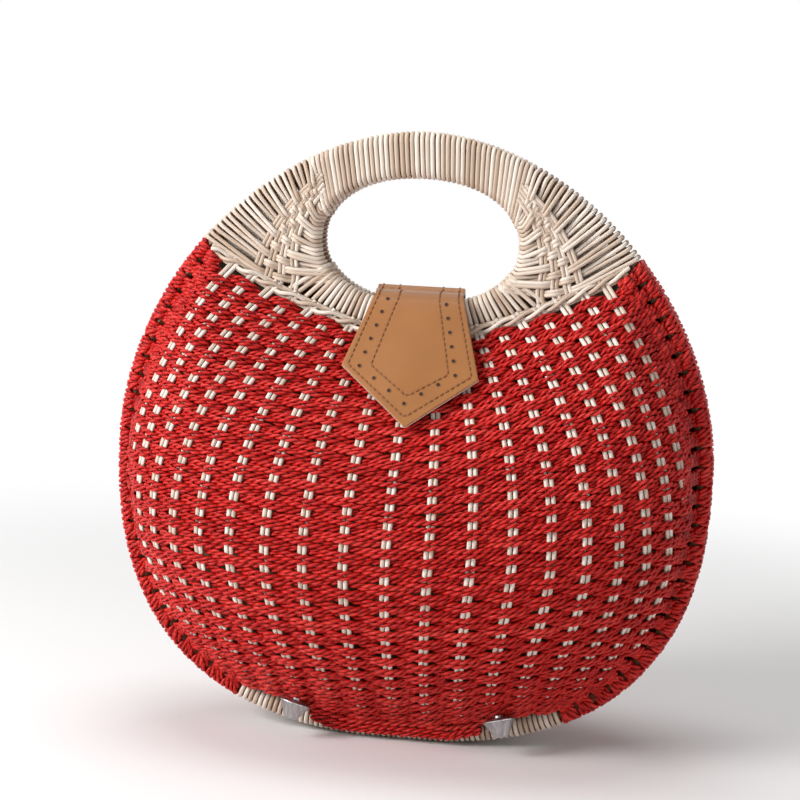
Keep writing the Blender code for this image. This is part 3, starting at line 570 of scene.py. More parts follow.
def red_cord_material():
    g = Graph("red_cord_look", 0.36, 0.22)
    fibres = g.noise(g.strand_uv(), 1.0, 3.0, (420.0, 26.0, 1.0))
    patches = g.noise(g.position(), 38.0, 3.0)
    bright = g.ramp(g.average(g.attribute("tone"), patches), CORD_REDS, 0.2)
    # Painted shade: the grooves between the two plies go near black, as if shaded by the other ply
    groove_shaded_red = g.mix(0.85, bright, PAINTED_GROOVE_SHADE)
    colour = g.mix(g.math("POWER", g.attribute("ridge"), 1.1), groove_shaded_red, bright)
    return g.finish(colour, fibres, 0.45, 0.3 * MM)


def reed_material(name, tones):
    """Peeled reed, with brown shade painted on its flanks where two reeds touch."""
    g = Graph(name, 0.48, 0.4)
    uv = g.strand_uv()
    fibres = g.noise(uv, 1.0, 4.0, (35.0, 22.0, 1.0))
    knots = g.noise(uv, 1.0, 2.0, (90.0, 3.0, 1.0))
    base = g.ramp(g.average(g.attribute("tone"), fibres), tones, 0.2)
    spotted = g.mix(g.math("MULTIPLY", g.math("GREATER_THAN", knots, 0.66), 0.4), base, REED_KNOT)
    # Painted shade: the flanks, away from the reed's outer side, go brown as if shaded by the next reed
    around = g.node("SeparateXYZ", {0: uv}).outputs["Y"]
    off_front = g.math("ABSOLUTE", g.math("SUBTRACT", around, 0.5))
    flank_shade = g.math("MULTIPLY", g.math("SUBTRACT", off_front, 0.13), 8.0)
    flank_shade = g.math("MINIMUM", g.math("MAXIMUM", flank_shade, 0.0), 1.0)
    return g.finish(g.mix(g.math("MULTIPLY", flank_shade, 0.9), spotted, REED_FLANK_SHADE), fibres, 0.45, 0.25 * MM)


def leather_material():
    g = Graph("tan_leather_look", 0.42, 0.45)
    position = g.position()
    cells = g.node("TexVoronoi", {"Vector": position, "Scale": 900.0}, feature="DISTANCE_TO_EDGE")
    grain = g.math("MINIMUM", cells.outputs["Distance"], 0.12)
    return g.finish(g.ramp(g.noise(position, 30.0, 4.0), LEATHER_TONES), grain, 0.25, 0.4 * MM)


def flat_material(name, colour, roughness, scale, strength):
    g = Graph(name, roughness, 0.35)
    speckle = g.noise(g.position(), scale, 4.0)
    low = [channel * 0.8 for channel in colour]
    high = [min(channel * 1.15, 1.0) for channel in colour]
    return g.finish(g.ramp(speckle, (low, high)), speckle, strength, 0.2 * MM)


def cloth_material():
    g = Graph("khaki_cloth_look", 0.9, 0.2, sheen=0.2)
    position = g.position()
    waves = []
    for direction in ("X", "Z"):
        wave = g.node("TexWave", {"Scale": 330.0, "Vector": position}, bands_direction=direction)
        waves.append(wave.outputs["Fac"])
    threads = g.math("MULTIPLY", waves[0], waves[1])
    base = g.ramp(g.noise(position, 90.0, 3.0), CLOTH_TONES)
    return g.finish(g.mix(threads, base, CLOTH_THREADS), threads, 0.4, 0.3 * MM)


def metal_material():
    g = Graph("polished_metal_look", 0.3, metallic=1.0)
    scratches = g.noise(g.position(), 1.0, 3.0, (900.0, 900.0, 90.0))
    fill(g.shader, {"Roughness": g.math("ADD", g.math("MULTIPLY", scratches, 0.2), 0.22)})
    return g.finish(g.ramp(scratches, METAL_TONES), scratches, 0.25, 0.1 * MM)


RED = red_cord_material()
REED = reed_material("natural_reed_look", REED_TONES)
# Lit copy of the reed look: the stakes are the same reed, painted paler for the light they catch
LIT_STAKE_REED = reed_material("painted_lit_reed_look", LIT_STAKE_TONES)
LEATHER = leather_material()
CLOTH = cloth_material()
METAL = metal_material()
THREAD = flat_material("thread_look", (0.24, 0.088, 0.030), 0.7, 2500.0, 0.4)
LEATHER_EDGE = flat_material("leather_edge_look", (0.56, 0.31, 0.14), 0.65, 1200.0, 0.3)
PALE_EDGE = flat_material("pale_edge_look", (0.78, 0.66, 0.56), 0.7, 1200.0, 0.3)
# Near black painted on flat discs that stand for the shade inside punched and needle holes
HOLE_SHADE = flat_material("painted_hole_shade_look", (0.035, 0.016, 0.010), 0.8, 1500.0, 0.2)


# The red weave

CENTRE_HEIGHTS = np.linspace(border_height(0.0) - BORDER_DROP, rim_height(0.0, DOME_INSET, False), 300)
CENTRE = np.column_stack([-dome_depth(0.0 * CENTRE_HEIGHTS, CENTRE_HEIGHTS), CENTRE_HEIGHTS])
ROW_ENDS = side_path(DOME_INSET)
WEAVE_LIMITS = side_path(WEAVE_END_INSET)


def row_height(middle, end_height, turn):
    """Height along a row that sags from its ends to the middle."""
    return middle + (end_height - middle) * np.abs(np.sin(turn)) ** BORDER_BEND


def cord_path(number):
    """Plan of one cord across the dome: x, z and how far it stands out."""
    share = (number + 0.5) / CORDS
    row = number // 2
    beside = 1.0 if number % 2 == 0 else -1.0
    end = at(ROW_ENDS, share)
    middle = at(CENTRE, share)[1]
    reach = min(at(WEAVE_LIMITS, share)[0] / end[0], 0.9992)
    turn = np.linspace(-1.0, 1.0, PLAN_STEPS) * math.asin(reach)
    x = end[0] * np.sin(turn)
    z = row_height(middle, end[1], turn)
    place = stake_number(x, z)
    swing = np.cos(math.pi * place + math.pi * row)
    swing = np.sign(swing) * np.abs(swing) ** 0.8
    fade = np.clip((10.2 - place) / 0.8, 0.0, 1.0)
    out = swing * fade * WEAVE_SWING * (1.0 + RNG.normal(0.0, 0.06))
    near_end = np.clip((np.abs(x) - (reach * end[0] - BUNDLE_LENGTH)) / BUNDLE_LENGTH, 0.0, 1.0)
    bundle = (number % 4 - 1.5) * BUNDLE_STEP * near_end ** 2
    return x, z + beside * CORD_SPREAD * swing + bundle, out


def make_weave(label, side, body):
    per_band = CORDS // WEAVE_BANDS
    plan = np.linspace(0.0, 1.0, PLAN_STEPS)
    for band in range(WEAVE_BANDS):
        strands = Strands()
        for number in range(band * per_band, (band + 1) * per_band):
            x, z, out = cord_path(number)
            points = dome_point(x, z + drift(plan, 34, CORD_WANDER), out + 0.2 * MM)
            normals = dome_normal(x, z)
            shares = np.linspace(0.0, 1.0, cord_steps(points))
            normals = np.column_stack([np.interp(shares, plan, normals[:, k]) for k in range(3)])
            strands.add_cord(along(points, shares), normals, side)
        nodes = (label + "_weave",) if band == 0 else ()
        strands.build(f"{label}_red_rows_{band + 1}", RED, body, "red_cord", nodes)


def make_hem(label, side, body):
    """Last cords of the weave, which hang over the front of the bottom binding."""
    strands = Strands()
    x = np.linspace(-1.0, 1.0, 260) * HEM_HALF_WIDTH
    floor = rim_height(x, RIM_RADIUS, False) - RIM_RADIUS
    end_rise = 2.0 * MM * np.clip((np.abs(x) - 28.0 * MM) / (15.0 * MM), 0.0, 1.0)
    for number, (depth, height) in enumerate(HEM_CORDS):
        swing = np.cos(math.pi * x / STAKE_TOP_SPACING + math.pi * (number // 2))
        rise = floor + height + drift(x, 12, 0.35 * MM) + end_rise
        points = np.column_stack([x, -depth - 0.35 * MM * (1.0 + swing), rise])
        strands.add_cord(along(points, np.linspace(0.0, 1.0, cord_steps(points))), FORWARD, side)
    strands.build(label + "_red_hem", RED, body, "red_cord")


def make_stakes(label, side, body):
    """Pairs of reed that fan out under the cords, from the base to the border."""
    strands = Strands()
    for number in range(-STAKES, STAKES + 1):
        count = abs(number)
        top = border_height(min(STAKE_TOP_SPACING * count, STAKE_TOP_LIMIT)) + 2.0 * MM
        z = np.linspace(top, 12.0 * MM, 90)
        x = math.copysign(1.0, number) * stake_across(float(count), z)
        keep = z > rim_height(x, DOME_INSET, False) + 2.0 * MM
        x, z = x[keep], z[keep]
        offset = np.full(len(z), 0.25 * MM)
        if count == STAKES:
            offset -= 1.3 * MM * np.exp(-((z - STAKE_MIDDLE) / (24.0 * MM)) ** 2)
        centre = dome_point(x, z, offset)
        normal = dome_normal(x, z)
        beside = unit(np.cross(np.gradient(centre, axis=0), normal))
        for half in (-1.0, 1.0):
            wobble = RNG.normal(0.0, 0.05 * MM)
            points = centre + beside * (half * REED_RADIUS * 1.02 + wobble)
            strands.add(points, normal, REED_RADIUS, side)
    strands.build(label + "_stakes", LIT_STAKE_REED, body, "natural_reed", (label + "_stake_fan",))


# Wraps around the hoop

def on_hoop(place):
    """A place of the outline, in the plane of the front hoop."""
    return np.array([place[0], -HOOP_DEPTH, place[1]])


def on_hand(points, hand):
    """Points of the right side as they are, or mirrored to the left."""
    return points * np.array([hand, 1.0, 1.0])


def hoop_frame(path, share, middle=150.0 * MM):
    """Point on a hoop, the direction away from a middle at a height, and the direction of the path."""
    centre = on_hoop(at(path, share))
    run = direction(path, share)
    away = np.array([-run[1], 0.0, run[0]])
    if away[0] * centre[0] + away[2] * (centre[2] - middle) < 0.0:
        away = -away
    return centre, away, np.array([run[0], 0.0, run[1]])


def around_hoop(centre, away, ring, degrees):
    """Point on a ring around the hoop, turned from the outward direction to the front."""
    turn = math.radians(degrees)
    return centre + away * ring * math.cos(turn) + FORWARD * ring * math.sin(turn)


def flat_loop(centre, wide, thin, half, end_radius, count, samples):
    """Closed loop around a flat core that is wide along one direction and thin along the other."""
    straight = half - end_radius
    points = []
    for index in range(count):
        turn = math.tau * (index + 0.5) / count
        reach = end_radius * math.cos(turn) + math.copysign(straight, math.cos(turn))
        points.append(centre + wide * reach + thin * end_radius * math.sin(turn))
    points = np.array(points + points[:1])
    return along(points, np.linspace(0.0, 1.0, samples, endpoint=False))


def make_rim_wraps(label, side, body):
    """Cords from the weave's edge around the hoop, in bundles of four that close up at their inner ends."""
    path = side_path(RIM_RADIUS)
    for hand_name, hand in HANDS:
        strands = Strands()
        for number in range(CORDS):
            share = (number + 0.5) / CORDS
            bundle = (number // 4 * 4 + 2.0) / CORDS
            points = []
            for inset, lift, layer, keep in RIM_WRAP_TAIL:
                spot, away, _ = hoop_frame(path, bundle + (share - bundle) * keep)
                spot += away * (RIM_RADIUS - inset * MM)
                spot[1] = -(dome_depth(spot[0], spot[2]) + (lift + layer * (number % 2)) * MM)
                points.append(spot)
            for degrees, keep in RIM_WRAP_TURNS:
                spot, away, _ = hoop_frame(path, bundle + (share - bundle) * keep)
                points.append(around_hoop(spot, away, RIM_WRAP_RING, degrees))
            curve = spline(points, cord_steps(np.array(points)))
            centre, _, tangent = hoop_frame(path, share)
            around = curve - centre
            around -= np.outer(around @ tangent, tangent)
            curve += tangent * RNG.normal(0.0, 0.15 * MM)
            strands.add_cord(on_hand(curve, hand), on_hand(around, hand), side, RIM_WRAP_SCALE)
        strands.build(f"{label}_red_wraps_{hand_name}", RED, body, "red_cord",
                      (f"{label}_rim_wrap_{hand_name}",))


def make_grip(label, side, body):
    """Wraps that bind the hoop and the hand ring into the handle."""
    outer_end = rim_angle(HANDLE_END, 0.0, True)
    hole_end = hole_angle(GRIP_END_AT_HOLE, 0.0)
    outer = rim_points(outer_end, math.pi - outer_end, 0.0)
    inner = hole_points(hole_end, math.pi - hole_end, 0.0)
    strands = Strands()
    lean = GRIP_LEAN / GRIP_WRAPS
    for number in range(GRIP_WRAPS):
        share = (number + 0.5) / GRIP_WRAPS
        high = on_hoop(at(outer, share + lean))
        low = on_hoop(at(inner, share - lean))
        axis = unit(high - low)
        radius = GRIP_REED * (1.0 + RNG.normal(0.0, 0.03))
        centre = (high + low) / 2
        centre += np.array([axis[2], 0.0, -axis[0]]) * RNG.normal(0.0, 0.08 * MM)
        half = np.linalg.norm(high - low) / 2 - radius
        loop = flat_loop(centre, axis, FORWARD, half, RIM_RADIUS - radius, 44, 44)
        strands.add_wrap(loop, centre, radius, side)
    strands.build(label + "_grip_wraps", REED, body, "natural_reed", (label + "_handle_grip",))


def ring_path():
    high = hole_angle(GRIP_END_AT_HOLE + 3.0 * MM, RIM_RADIUS)
    return hole_points(high, -math.pi - high, RIM_RADIUS)


def band_depth(spot, away):
    """How far a wrap reaches from the hand hole's edge: to the weave's border, or around the ring."""
    reach = SHORTEST_BAND
    while reach < LONGEST_BAND:
        end = spot + away * (reach - RIM_RADIUS)
        if end[2] < border_height(end[0]) - 0.6 * MM:
            break
        reach += 0.2 * MM
    return reach


def make_ring_wraps(label, side, body):
    """Single wraps on the band under the hand hole. They reach down to the weave's border."""
    path = ring_path()
    covered = 1.0 - 2 * RING_CORNER
    count = int(lengths(path)[-1] * covered / WRAP_PITCH)
    strands = Strands()
    for number in range(count):
        centre, away, run = hoop_frame(path, RING_CORNER + covered * (number + 0.5) / count, HOLE_HEIGHT)
        radius = REED_RADIUS * (1.02 + RNG.normal(0.0, 0.03))
        half = band_depth(centre, away) / 2.0
        centre = centre + away * (half - RIM_RADIUS)
        loop = flat_loop(centre, away, FORWARD, half - radius * 0.6, RIM_RADIUS - radius * 0.9, 44, 44)
        strands.add_wrap(loop + run * RNG.normal(0.0, 0.1 * MM), centre, radius, side)
    strands.build(label + "_ring_wraps", REED, body, "natural_reed", (label + "_ring_wrap",))


def shoulder_edges():
    """Paths of the shoulder's ends on the rim and on the hand ring."""
    outer = rim_part(HANDLE_END - 2.5 * MM, True, SHOULDER_END - 0.5 * MM, True)
    return outer, along(ring_path(), np.linspace(0.0, 0.240, 60))


def shoulder_drop(share, column):
    return SHOULDER_SAG * share ** 1.5 * math.sin(math.pi * column)


def shoulder_bulge(column):
    return 3.6 * MM + 1.2 * MM * math.sin(math.pi * column)


def shoulder_spot(edges, share, column, lift):
    """Point of the shoulder at a share along its edges, lifted to the front."""
    far, near = at(edges[0], share), at(edges[1], share ** LANDING_POWER)
    x, z = far * (1.0 - column) + near * column
    return np.array([x, -(HOOP_DEPTH + lift), z - shoulder_drop(share, column)])


def shoulder_reed(edges, pair, half, landed, lands):
    """Points of a reed from the rim over and under the columns, to a turn around the hand ring or a stop."""
    outer, inner = edges
    share = (pair + 0.5) / SHOULDER_PAIRS
    middle, out, run = hoop_frame(outer, share)
    far = on_hoop(at(outer, share + half * 0.24 / SHOULDER_PAIRS))
    near = on_hoop(at(inner, ((landed + 0.35) / SHOULDER_LANDINGS) ** LANDING_POWER))
    beside = middle + run * half * PAIR_HALF
    points = [around_hoop(far, out, SHOULDER_RING, degrees) for degrees in SHOULDER_TURNS]
    for index, column in enumerate(SHOULDER_COLUMNS):
        over = OVER_UNDER if (pair + index) % 2 == 0 else -OVER_UNDER
        spot = beside * (1.0 - column) + near * column
        spot[2] -= shoulder_drop(share, column)
        points.append(spot + FORWARD * (shoulder_bulge(column) + over))
    if lands:
        into = unit(on_hoop((0.0, HOLE_HEIGHT)) - near)
        points += [around_hoop(near, into, SHOULDER_RING, degrees) for degrees in SHOULDER_TURNS[::-1]]
    else:
        tucked = far * 0.12 + near * 0.88 + FORWARD * 2.6 * MM
        tucked[2] -= 0.3 * shoulder_drop(share, 0.5)
        points += [tucked, near + FORWARD * MM]
    return points


def make_shoulders(label, side, body):
    """Pairs of reed from the rim to the hand ring, woven over curved stakes, with plain reeds behind."""
    edges = shoulder_edges()
    for hand_name, hand in HANDS:
        strands = Strands()
        landed = 0
        for pair in range(SHOULDER_PAIRS):
            for half in (-1.0, 1.0):
                lands = half < 0 or pair % 3 != 2
                curve = on_hand(spline(shoulder_reed(edges, pair, half, landed, lands), 64), hand)
                landed += int(lands)
                radius = REED_RADIUS * (0.92 + RNG.normal(0.0, 0.03))
                tangent = unit(np.gradient(curve, axis=0))
                level = np.cross(tangent, np.cross(FORWARD, tangent))
                clear = np.linalg.norm(level, axis=1)[:, None] > 0.3
                strands.add(curve, np.where(clear, level, FORWARD), radius, side)
        for pair in range(SHOULDER_PAIRS + 1):
            share = pair / SHOULDER_PAIRS
            points = [shoulder_spot(edges, share, column, -1.8 * MM) for column in np.linspace(0.03, 0.95, 8)]
            strands.add(on_hand(spline(points, 40), hand), FORWARD, REED_RADIUS * 1.1, side)
        for column in SHOULDER_COLUMNS:
            for half in (-1.0, 1.0):
                points = []
                for share in np.linspace(-0.06, 1.06, 9):
                    clipped = min(max(share, 0.0), 1.0)
                    past = (share - clipped) * 60.0 * MM
                    spot = shoulder_spot(edges, clipped, column, shoulder_bulge(column))
                    points.append(spot + np.array([past * 0.6 + half * PAIR_HALF, 0.0, -past]))
                strands.add(on_hand(spline(points, 40), hand), FORWARD, REED_RADIUS * 0.95, side)
        strands.build(f"{label}_shoulder_reeds_{hand_name}", REED, body, "natural_reed",
                      (f"{label}_shoulder_wrap_{hand_name}", f"{label}_shoulder_panel_{hand_name}"))


def make_border(label, side, body):
    """Two reeds twisted around each other along the weave's upper edge, between two plain ones."""
    x = np.linspace(-1.0, 1.0, 260) * BORDER_REACH
    z = border_height(x) - 0.6 * MM
    base = dome_point(x, z - 4.0 * MM, 1.0 * MM)
    base[:, 2] = z
    base[:, 1] = np.minimum(base[:, 1] + 1.0 * MM, -(HOOP_DEPTH + 4.0 * MM))
    strands = Strands()
    for phase in (0.0, math.pi):
        turn = math.tau * lengths(base) / (22.0 * MM) + phase
        curve = base.copy()
        curve[:, 2] += np.sin(turn) * 1.5 * MM
        curve[:, 1] -= np.cos(turn) * 1.3 * MM
        strands.add(curve, FORWARD, REED_RADIUS * 0.9, side)
    for drop, back in in_mm(((-2.6, 0.9), (1.9, 1.2))):
        strands.add(base + np.array([0.0, back, drop]), FORWARD, REED_RADIUS * 0.9, side)
    strands.build(label + "_border_reeds", REED, body, "natural_reed")


def make_base_wraps(label, side, body):
    """Single natural wraps on each hoop between the red cord and the binding."""
    path = rim_part(BASE_END - WRAP_GAP, False, BINDING_END + WRAP_GAP, False)
    count = int(lengths(path)[-1] / BASE_WRAP_PITCH)
    for hand_name, hand in HANDS:
        strands = Strands()
        for number in range(count):
            centre, away, _ = hoop_frame(path, (number + 0.5) / count)
            radius = REED_RADIUS * (1.0 + RNG.normal(0.0, 0.02))
            ring = RIM_RADIUS - radius
            loop = on_hand(flat_loop(centre, away, FORWARD, ring + 1e-6, ring, 28, 28), hand)
            strands.add_wrap(loop, loop.mean(axis=0), radius, side)
        strands.build(f"{label}_base_wraps_{hand_name}", REED, body, "natural_reed",
                      (f"{label}_base_wrap_{hand_name}",))


def make_binding():
    """Wraps around both hoops at the bottom."""
    end = rim_angle(BINDING_END - WRAP_GAP, RIM_RADIUS, False)
    path = rim_points(end, -math.pi - end, RIM_RADIUS)
    count = int(lengths(path)[-1] / WRAP_PITCH)
    strands = Strands()
    for number in range(count):
        centre, away, _ = hoop_frame(path, (number + 0.5) / count)
        centre[1] = 0.0
        radius = REED_RADIUS * (1.0 + RNG.normal(0.0, 0.02))
        loop = flat_loop(centre, FORWARD, away, BINDING_HALF_DEPTH - radius, RIM_RADIUS - radius, 44, 48)
        strands.add_wrap(loop, centre, radius)
    strands.build("binding_wraps", REED, "back_shell", "natural_reed", ("bottom_binding",))


# Cloth

def cloth_piece(name, grid, body, nodes):
    """Smooth cloth through a grid of points."""
    mesh = plain_mesh(name, grid.reshape(-1, 3), grid_faces(*grid.shape[:2]))
    mesh.validate()
    for polygon in mesh.polygons:
        polygon.use_smooth = True
    piece = finish_piece(name, mesh, CLOTH, body, nodes)
    solidify = piece.modifiers.new("thickness", "SOLIDIFY")
    solidify.thickness = CLOTH_THICKNESS
    solidify.offset = 0.0
    return piece


def lining_grid():
    """Points under the dome. The first rows rise behind the border and keep clear of the top cords."""
    rows, columns = 40, 60
    grid = np.empty((rows, columns, 3))
    shares = np.linspace(0.012, 0.988, rows)
    ends = along(ROW_ENDS, shares)
    middles = along(CENTRE, shares)[:, 1]
    turn = np.linspace(-1.0, 1.0, columns) * math.pi / 2 * 0.93
    for i in range(rows):
        z = row_height(middles[i], ends[i, 1], turn)
        grid[i] = dome_point(ends[i, 0] * np.sin(turn), z, -LINING_UNDER_DOME)
    for row, (rise, pull) in enumerate(LINING_TOP_ROWS):
        grid[row, :, 1] += pull
        grid[row, :, 2] += rise
    return grid


def make_lining(label, side, body):
    grid = lining_grid()
    ripple = RNG.normal(0.0, 1.0, (8, 10))
    rows = np.linspace(0, 7, grid.shape[0]).astype(int)
    columns = np.linspace(0, 9, grid.shape[1]).astype(int)
    soft = ripple[np.ix_(rows, columns)]
    for _ in range(6):
        beside = sum(np.roll(soft, shift, axis) for axis in (0, 1) for shift in (1, -1))
        soft = (soft + beside) / 5
    grid[:, :, 1] += np.clip(soft, 0.0, 1.0) * 1.2 * MM
    if side == BACK:
        grid[:, :, 1] *= -1.0
    piece = cloth_piece(label + "_lining_cloth", grid, body, (label + "_lining",))


def rim_half_width(z, inset):
    """Half width of the outline at a height, moved inwards by the inset."""
    upper = squircle((z - WIDEST) / (TOP - WIDEST - inset), TOP_SQUARE)
    lower = squircle((WIDEST - z) / (WIDEST - inset), BASE_SQUARE)
    return (HALF_WIDTH - inset) * np.where(z >= WIDEST, upper, lower)


def make_gussets():
    """Cloth between the halves at each side, folded once inwards."""
    heights = np.linspace(GUSSET_LOW, GUSSET_HIGH, 46)
    root = rim_half_width(heights, GUSSET_ROOT_INSET)
    across = np.linspace(-1.0, 1.0, 17)
    for hand_name, hand in HANDS:
        grid = np.empty((len(heights), len(across), 3))
        for i, height in enumerate(heights):
            crease = 1.0 + 0.06 * math.sin(height * 210.0 + hand)
            fold = GUSSET_FOLD * crease * np.cos(across * math.pi / 2) ** 0.8
            grid[i, :, 0] = hand * (root[i] - fold)
            grid[i, :, 1] = across * GUSSET_REACH
            grid[i, :, 2] = height
        piece = cloth_piece("gusset_cloth_" + hand_name, grid, None, ("gusset_" + hand_name,))
        tall = float(lengths(grid[:, 0])[-1])
        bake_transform(piece)


# Metal feet

def lathe_mesh(name, profile, sides):
    """Closed turned form with flat sides about the z axis. The profile starts and ends off the axis."""
    verts, faces = [], []
    for radius, height in profile:
        for index in range(sides):
            turn = math.tau * index / sides
            verts.append((radius * math.cos(turn), radius * math.sin(turn), height))
    for low in range(0, (len(profile) - 1) * sides, sides):
        for index in range(sides):
            beside = (index + 1) % sides
            faces.append((low + index, low + beside, low + sides + beside, low + sides + index))
    faces.append(tuple(range(sides))[::-1])
    faces.append(tuple(range(len(verts) - sides, len(verts))))
    return plain_mesh(name, verts, faces)


def make_feet(label, side, body):
    low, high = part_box(label + "_foot_right")
    middle_y = (low[1] + high[1]) / 2.0
    for hand_name, hand in HANDS:
        name = f"{label}_foot_cone_{hand_name}"
        mesh = lathe_mesh(name, FOOT_PROFILE, FOOT_SIDES)
        tilt = Matrix.Rotation(side * -FOOT_LEAN, 4, "X") @ Matrix.Rotation(hand * FOOT_SPLAY, 4, "Y")
        place = Matrix.Translation((hand * FOOT_ACROSS + FOOT_SHIFT, middle_y, low[2] + FOOT_RISE))
        mesh.transform(place @ tilt @ Matrix.Translation((0.0, 0.0, -FOOT_PIVOT)))
        finish_piece(name, mesh, METAL, body, (f"{label}_foot_{hand_name}",))


# Leather strap and flap

def leather_piece(name, surface, edges, stops, low, high, body, edge_material, nodes=()):
    """Closed leather layer between two heights over its middle surface, with softened edges."""
    columns = 40
    places = []
    for stop in stops:
        left, right = edges(stop)
        places += [(left + (right - left) * k / (columns - 1), stop) for k in range(columns)]
    under = len(places)
    verts = [surface(u, s, high) for u, s in places] + [surface(u, s, low) for u, s in places]
    faces = []
    for a, b, c, d in grid_faces(len(stops), columns):
        faces.append((a, d, c, b))
        faces.append((under + a, under + b, under + c, under + d))
    last = under - columns
    ring = [*range(columns - 1), *range(columns - 1, under - 1, columns)]
    ring += [*range(under - 1, last, -1), *range(last, 0, -columns)]
    flat_faces = len(faces)
    for first, second in zip(ring, ring[1:] + ring[:1]):
        faces.append((first, second, under + second, under + first))
    mesh = plain_mesh(name, verts, faces)
    for polygon in mesh.polygons:
        polygon.use_smooth = polygon.index < flat_faces
        polygon.material_index = 0 if polygon.index < flat_faces else 1
    piece = finish_piece(name, mesh, LEATHER, body, nodes)
    mesh.materials.append(edge_material)
    bevel = piece.modifiers.new("soft_edge", "BEVEL")
    bevel.width = 0.14 * MM
    bevel.segments = 2
    bevel.limit_method = "ANGLE"
    bevel.angle_limit = math.radians(60.0)


def flap_surface(across, down, lift):
    """Point over the flap's middle surface, which bulges a little over the snap."""
    slope = np.array([0.0, -math.cos(FLAP_SLOPE), -math.sin(FLAP_SLOPE)])
    bend = np.array([0.0, FLAP_BEND[0], FLAP_BEND[1]])
    if down <= -FLAP_ROUND:
        spot, run = bend + FORWARD * down, FORWARD
    elif down >= FLAP_ROUND:
        spot, run = bend + slope * down, slope
    else:
        q = (down + FLAP_ROUND) / (2.0 * FLAP_ROUND)
        first, last = bend - FORWARD * FLAP_ROUND, bend + slope * FLAP_ROUND
        spot = (1 - q) ** 2 * first + 2 * q * (1 - q) * bend + q * q * last
        run = unit((1 - q) * FORWARD + q * slope)
    outward = np.array([0.0, run[2], -run[1]])
    slope_share = min(max(down / (10.0 * MM), 0.0), 1.0)
    snap_push = math.exp(-((across / (13.0 * MM)) ** 2 + ((down - 44.0 * MM) / (15.0 * MM)) ** 2))
    bow = 0.9 * (1.0 - (across / (36.0 * MM)) ** 2)
    spot = spot + outward * (lift + (snap_push + bow) * slope_share * MM)
    spot[0] += across
    return spot


def flap_edges(inset):
    """Left and right limits of the flap at a distance from the bend."""
    top_left, top_right, right, tip, left = FLAP_CORNERS

    def limit(down, hand, top, corner, blend):
        if down <= top[1]:
            share = min((top[1] - down) / blend, 1.0)
            return top[0] * (1.0 - share) + hand * STRAP_HALF * share - hand * inset
        tip_x = tip[0] + hand * 0.5 * MM
        return np.interp(down, (top[1], corner[1], tip[1]), (top[0], corner[0], tip_x)) - hand * inset

    def limits(down):
        return limit(down, -1.0, top_left, left, 14.0 * MM), limit(down, 1.0, top_right, right, 15.0 * MM)

    return limits


def strap_line():
    """Middle line of the strap from the ring's crest down the back weave, as (y, z)."""
    crest = FLAP_BEND[1]
    points = [(0.1 * MM, crest), (5.0 * MM, crest), (9.5 * MM, crest)]
    tail = border_height(STRAP_HALF)
    for step in range(1, 4):
        height = tail - 24.0 * MM * step / 3.0
        points.append((dome_depth(STRAP_HALF, height) + 4.1 * MM, height + 1.2 * MM))
    return spline([(y, z, 0.0) for y, z in points], 90)


def strap_surface(line):
    run = lengths(line)
    steps = np.gradient(line, axis=0)

    def surface(across, down, lift):
        y, z = np.interp(down, run, line[:, 0]), np.interp(down, run, line[:, 1])
        dy, dz = np.interp(down, run, steps[:, 0]), np.interp(down, run, steps[:, 1])
        size = math.hypot(dy, dz)
        return np.array([across, y - dz / size * lift, z + dy / size * lift])

    return surface, float(run[-1])


def walk(corners, pitch):
    """Places along a polyline of (across, down) corners at an even pitch."""
    points = np.array(corners)
    count = max(int(round(lengths(points)[-1] / pitch)), 2) + 1
    return along(points, np.linspace(0.0, 1.0, count))


def circle(surface, place, radius, lift, count):
    """Points of a circle on the leather."""
    points = []
    for index in range(count):
        turn = math.tau * index / count
        points.append(surface(*(place + radius * np.array([math.cos(turn), math.sin(turn)])), lift))
    return points


def disc(verts, faces, surface, place, radius, lift, sides=14):
    """Small round face on the leather."""
    start = len(verts)
    verts.append(surface(*place, lift))
    verts += circle(surface, place, radius, lift, sides)
    for index in range(sides):
        faces.append((start, start + 1 + (index + 1) % sides, start + 1 + index))


def make_seams(name, surface, lines, punched, body):
    """Rows of thread stitches with their needle holes, and a row of punched holes. The holes are flat discs
    painted near black with the shade inside them.
    """
    thread, rings = Strands(), Strands()
    verts, faces = [], []

    def upward(u, s):
        return surface(u, s, LEATHER_TOP + MM) - surface(u, s, LEATHER_TOP)

    for line in lines:
        places = walk(line, STITCH_PITCH)
        for first, second in zip(places[:-1], places[1:]):
            step = second - first
            points, facing = [], []
            for share, rise in STITCH_SHAPE:
                place = first + step * share
                points.append(surface(*place, LEATHER_TOP + rise * MM))
                facing.append(upward(*place))
            thread.add(points, facing, 0.46 * MM, sides=6)
            for share in NEEDLE_HOLES:
                disc(verts, faces, surface, first + step * share, 0.26 * MM, LEATHER_TOP + 0.03 * MM)
    for place in punched:
        disc(verts, faces, surface, place, 0.98 * MM, LEATHER_TOP + 0.05 * MM)
        points = circle(surface, place, 1.12 * MM, LEATHER_TOP + 0.02 * MM, 18)
        rings.add(points, upward(*place), 0.2 * MM, sides=6, closed=True)
    thread.build(name + "_stitches", THREAD, body, "tan_leather")
    rings.build(name + "_hole_rims", LEATHER, body, "tan_leather")
    finish_piece(name + "_holes", plain_mesh(name + "_holes", verts, faces), HOLE_SHADE, body)


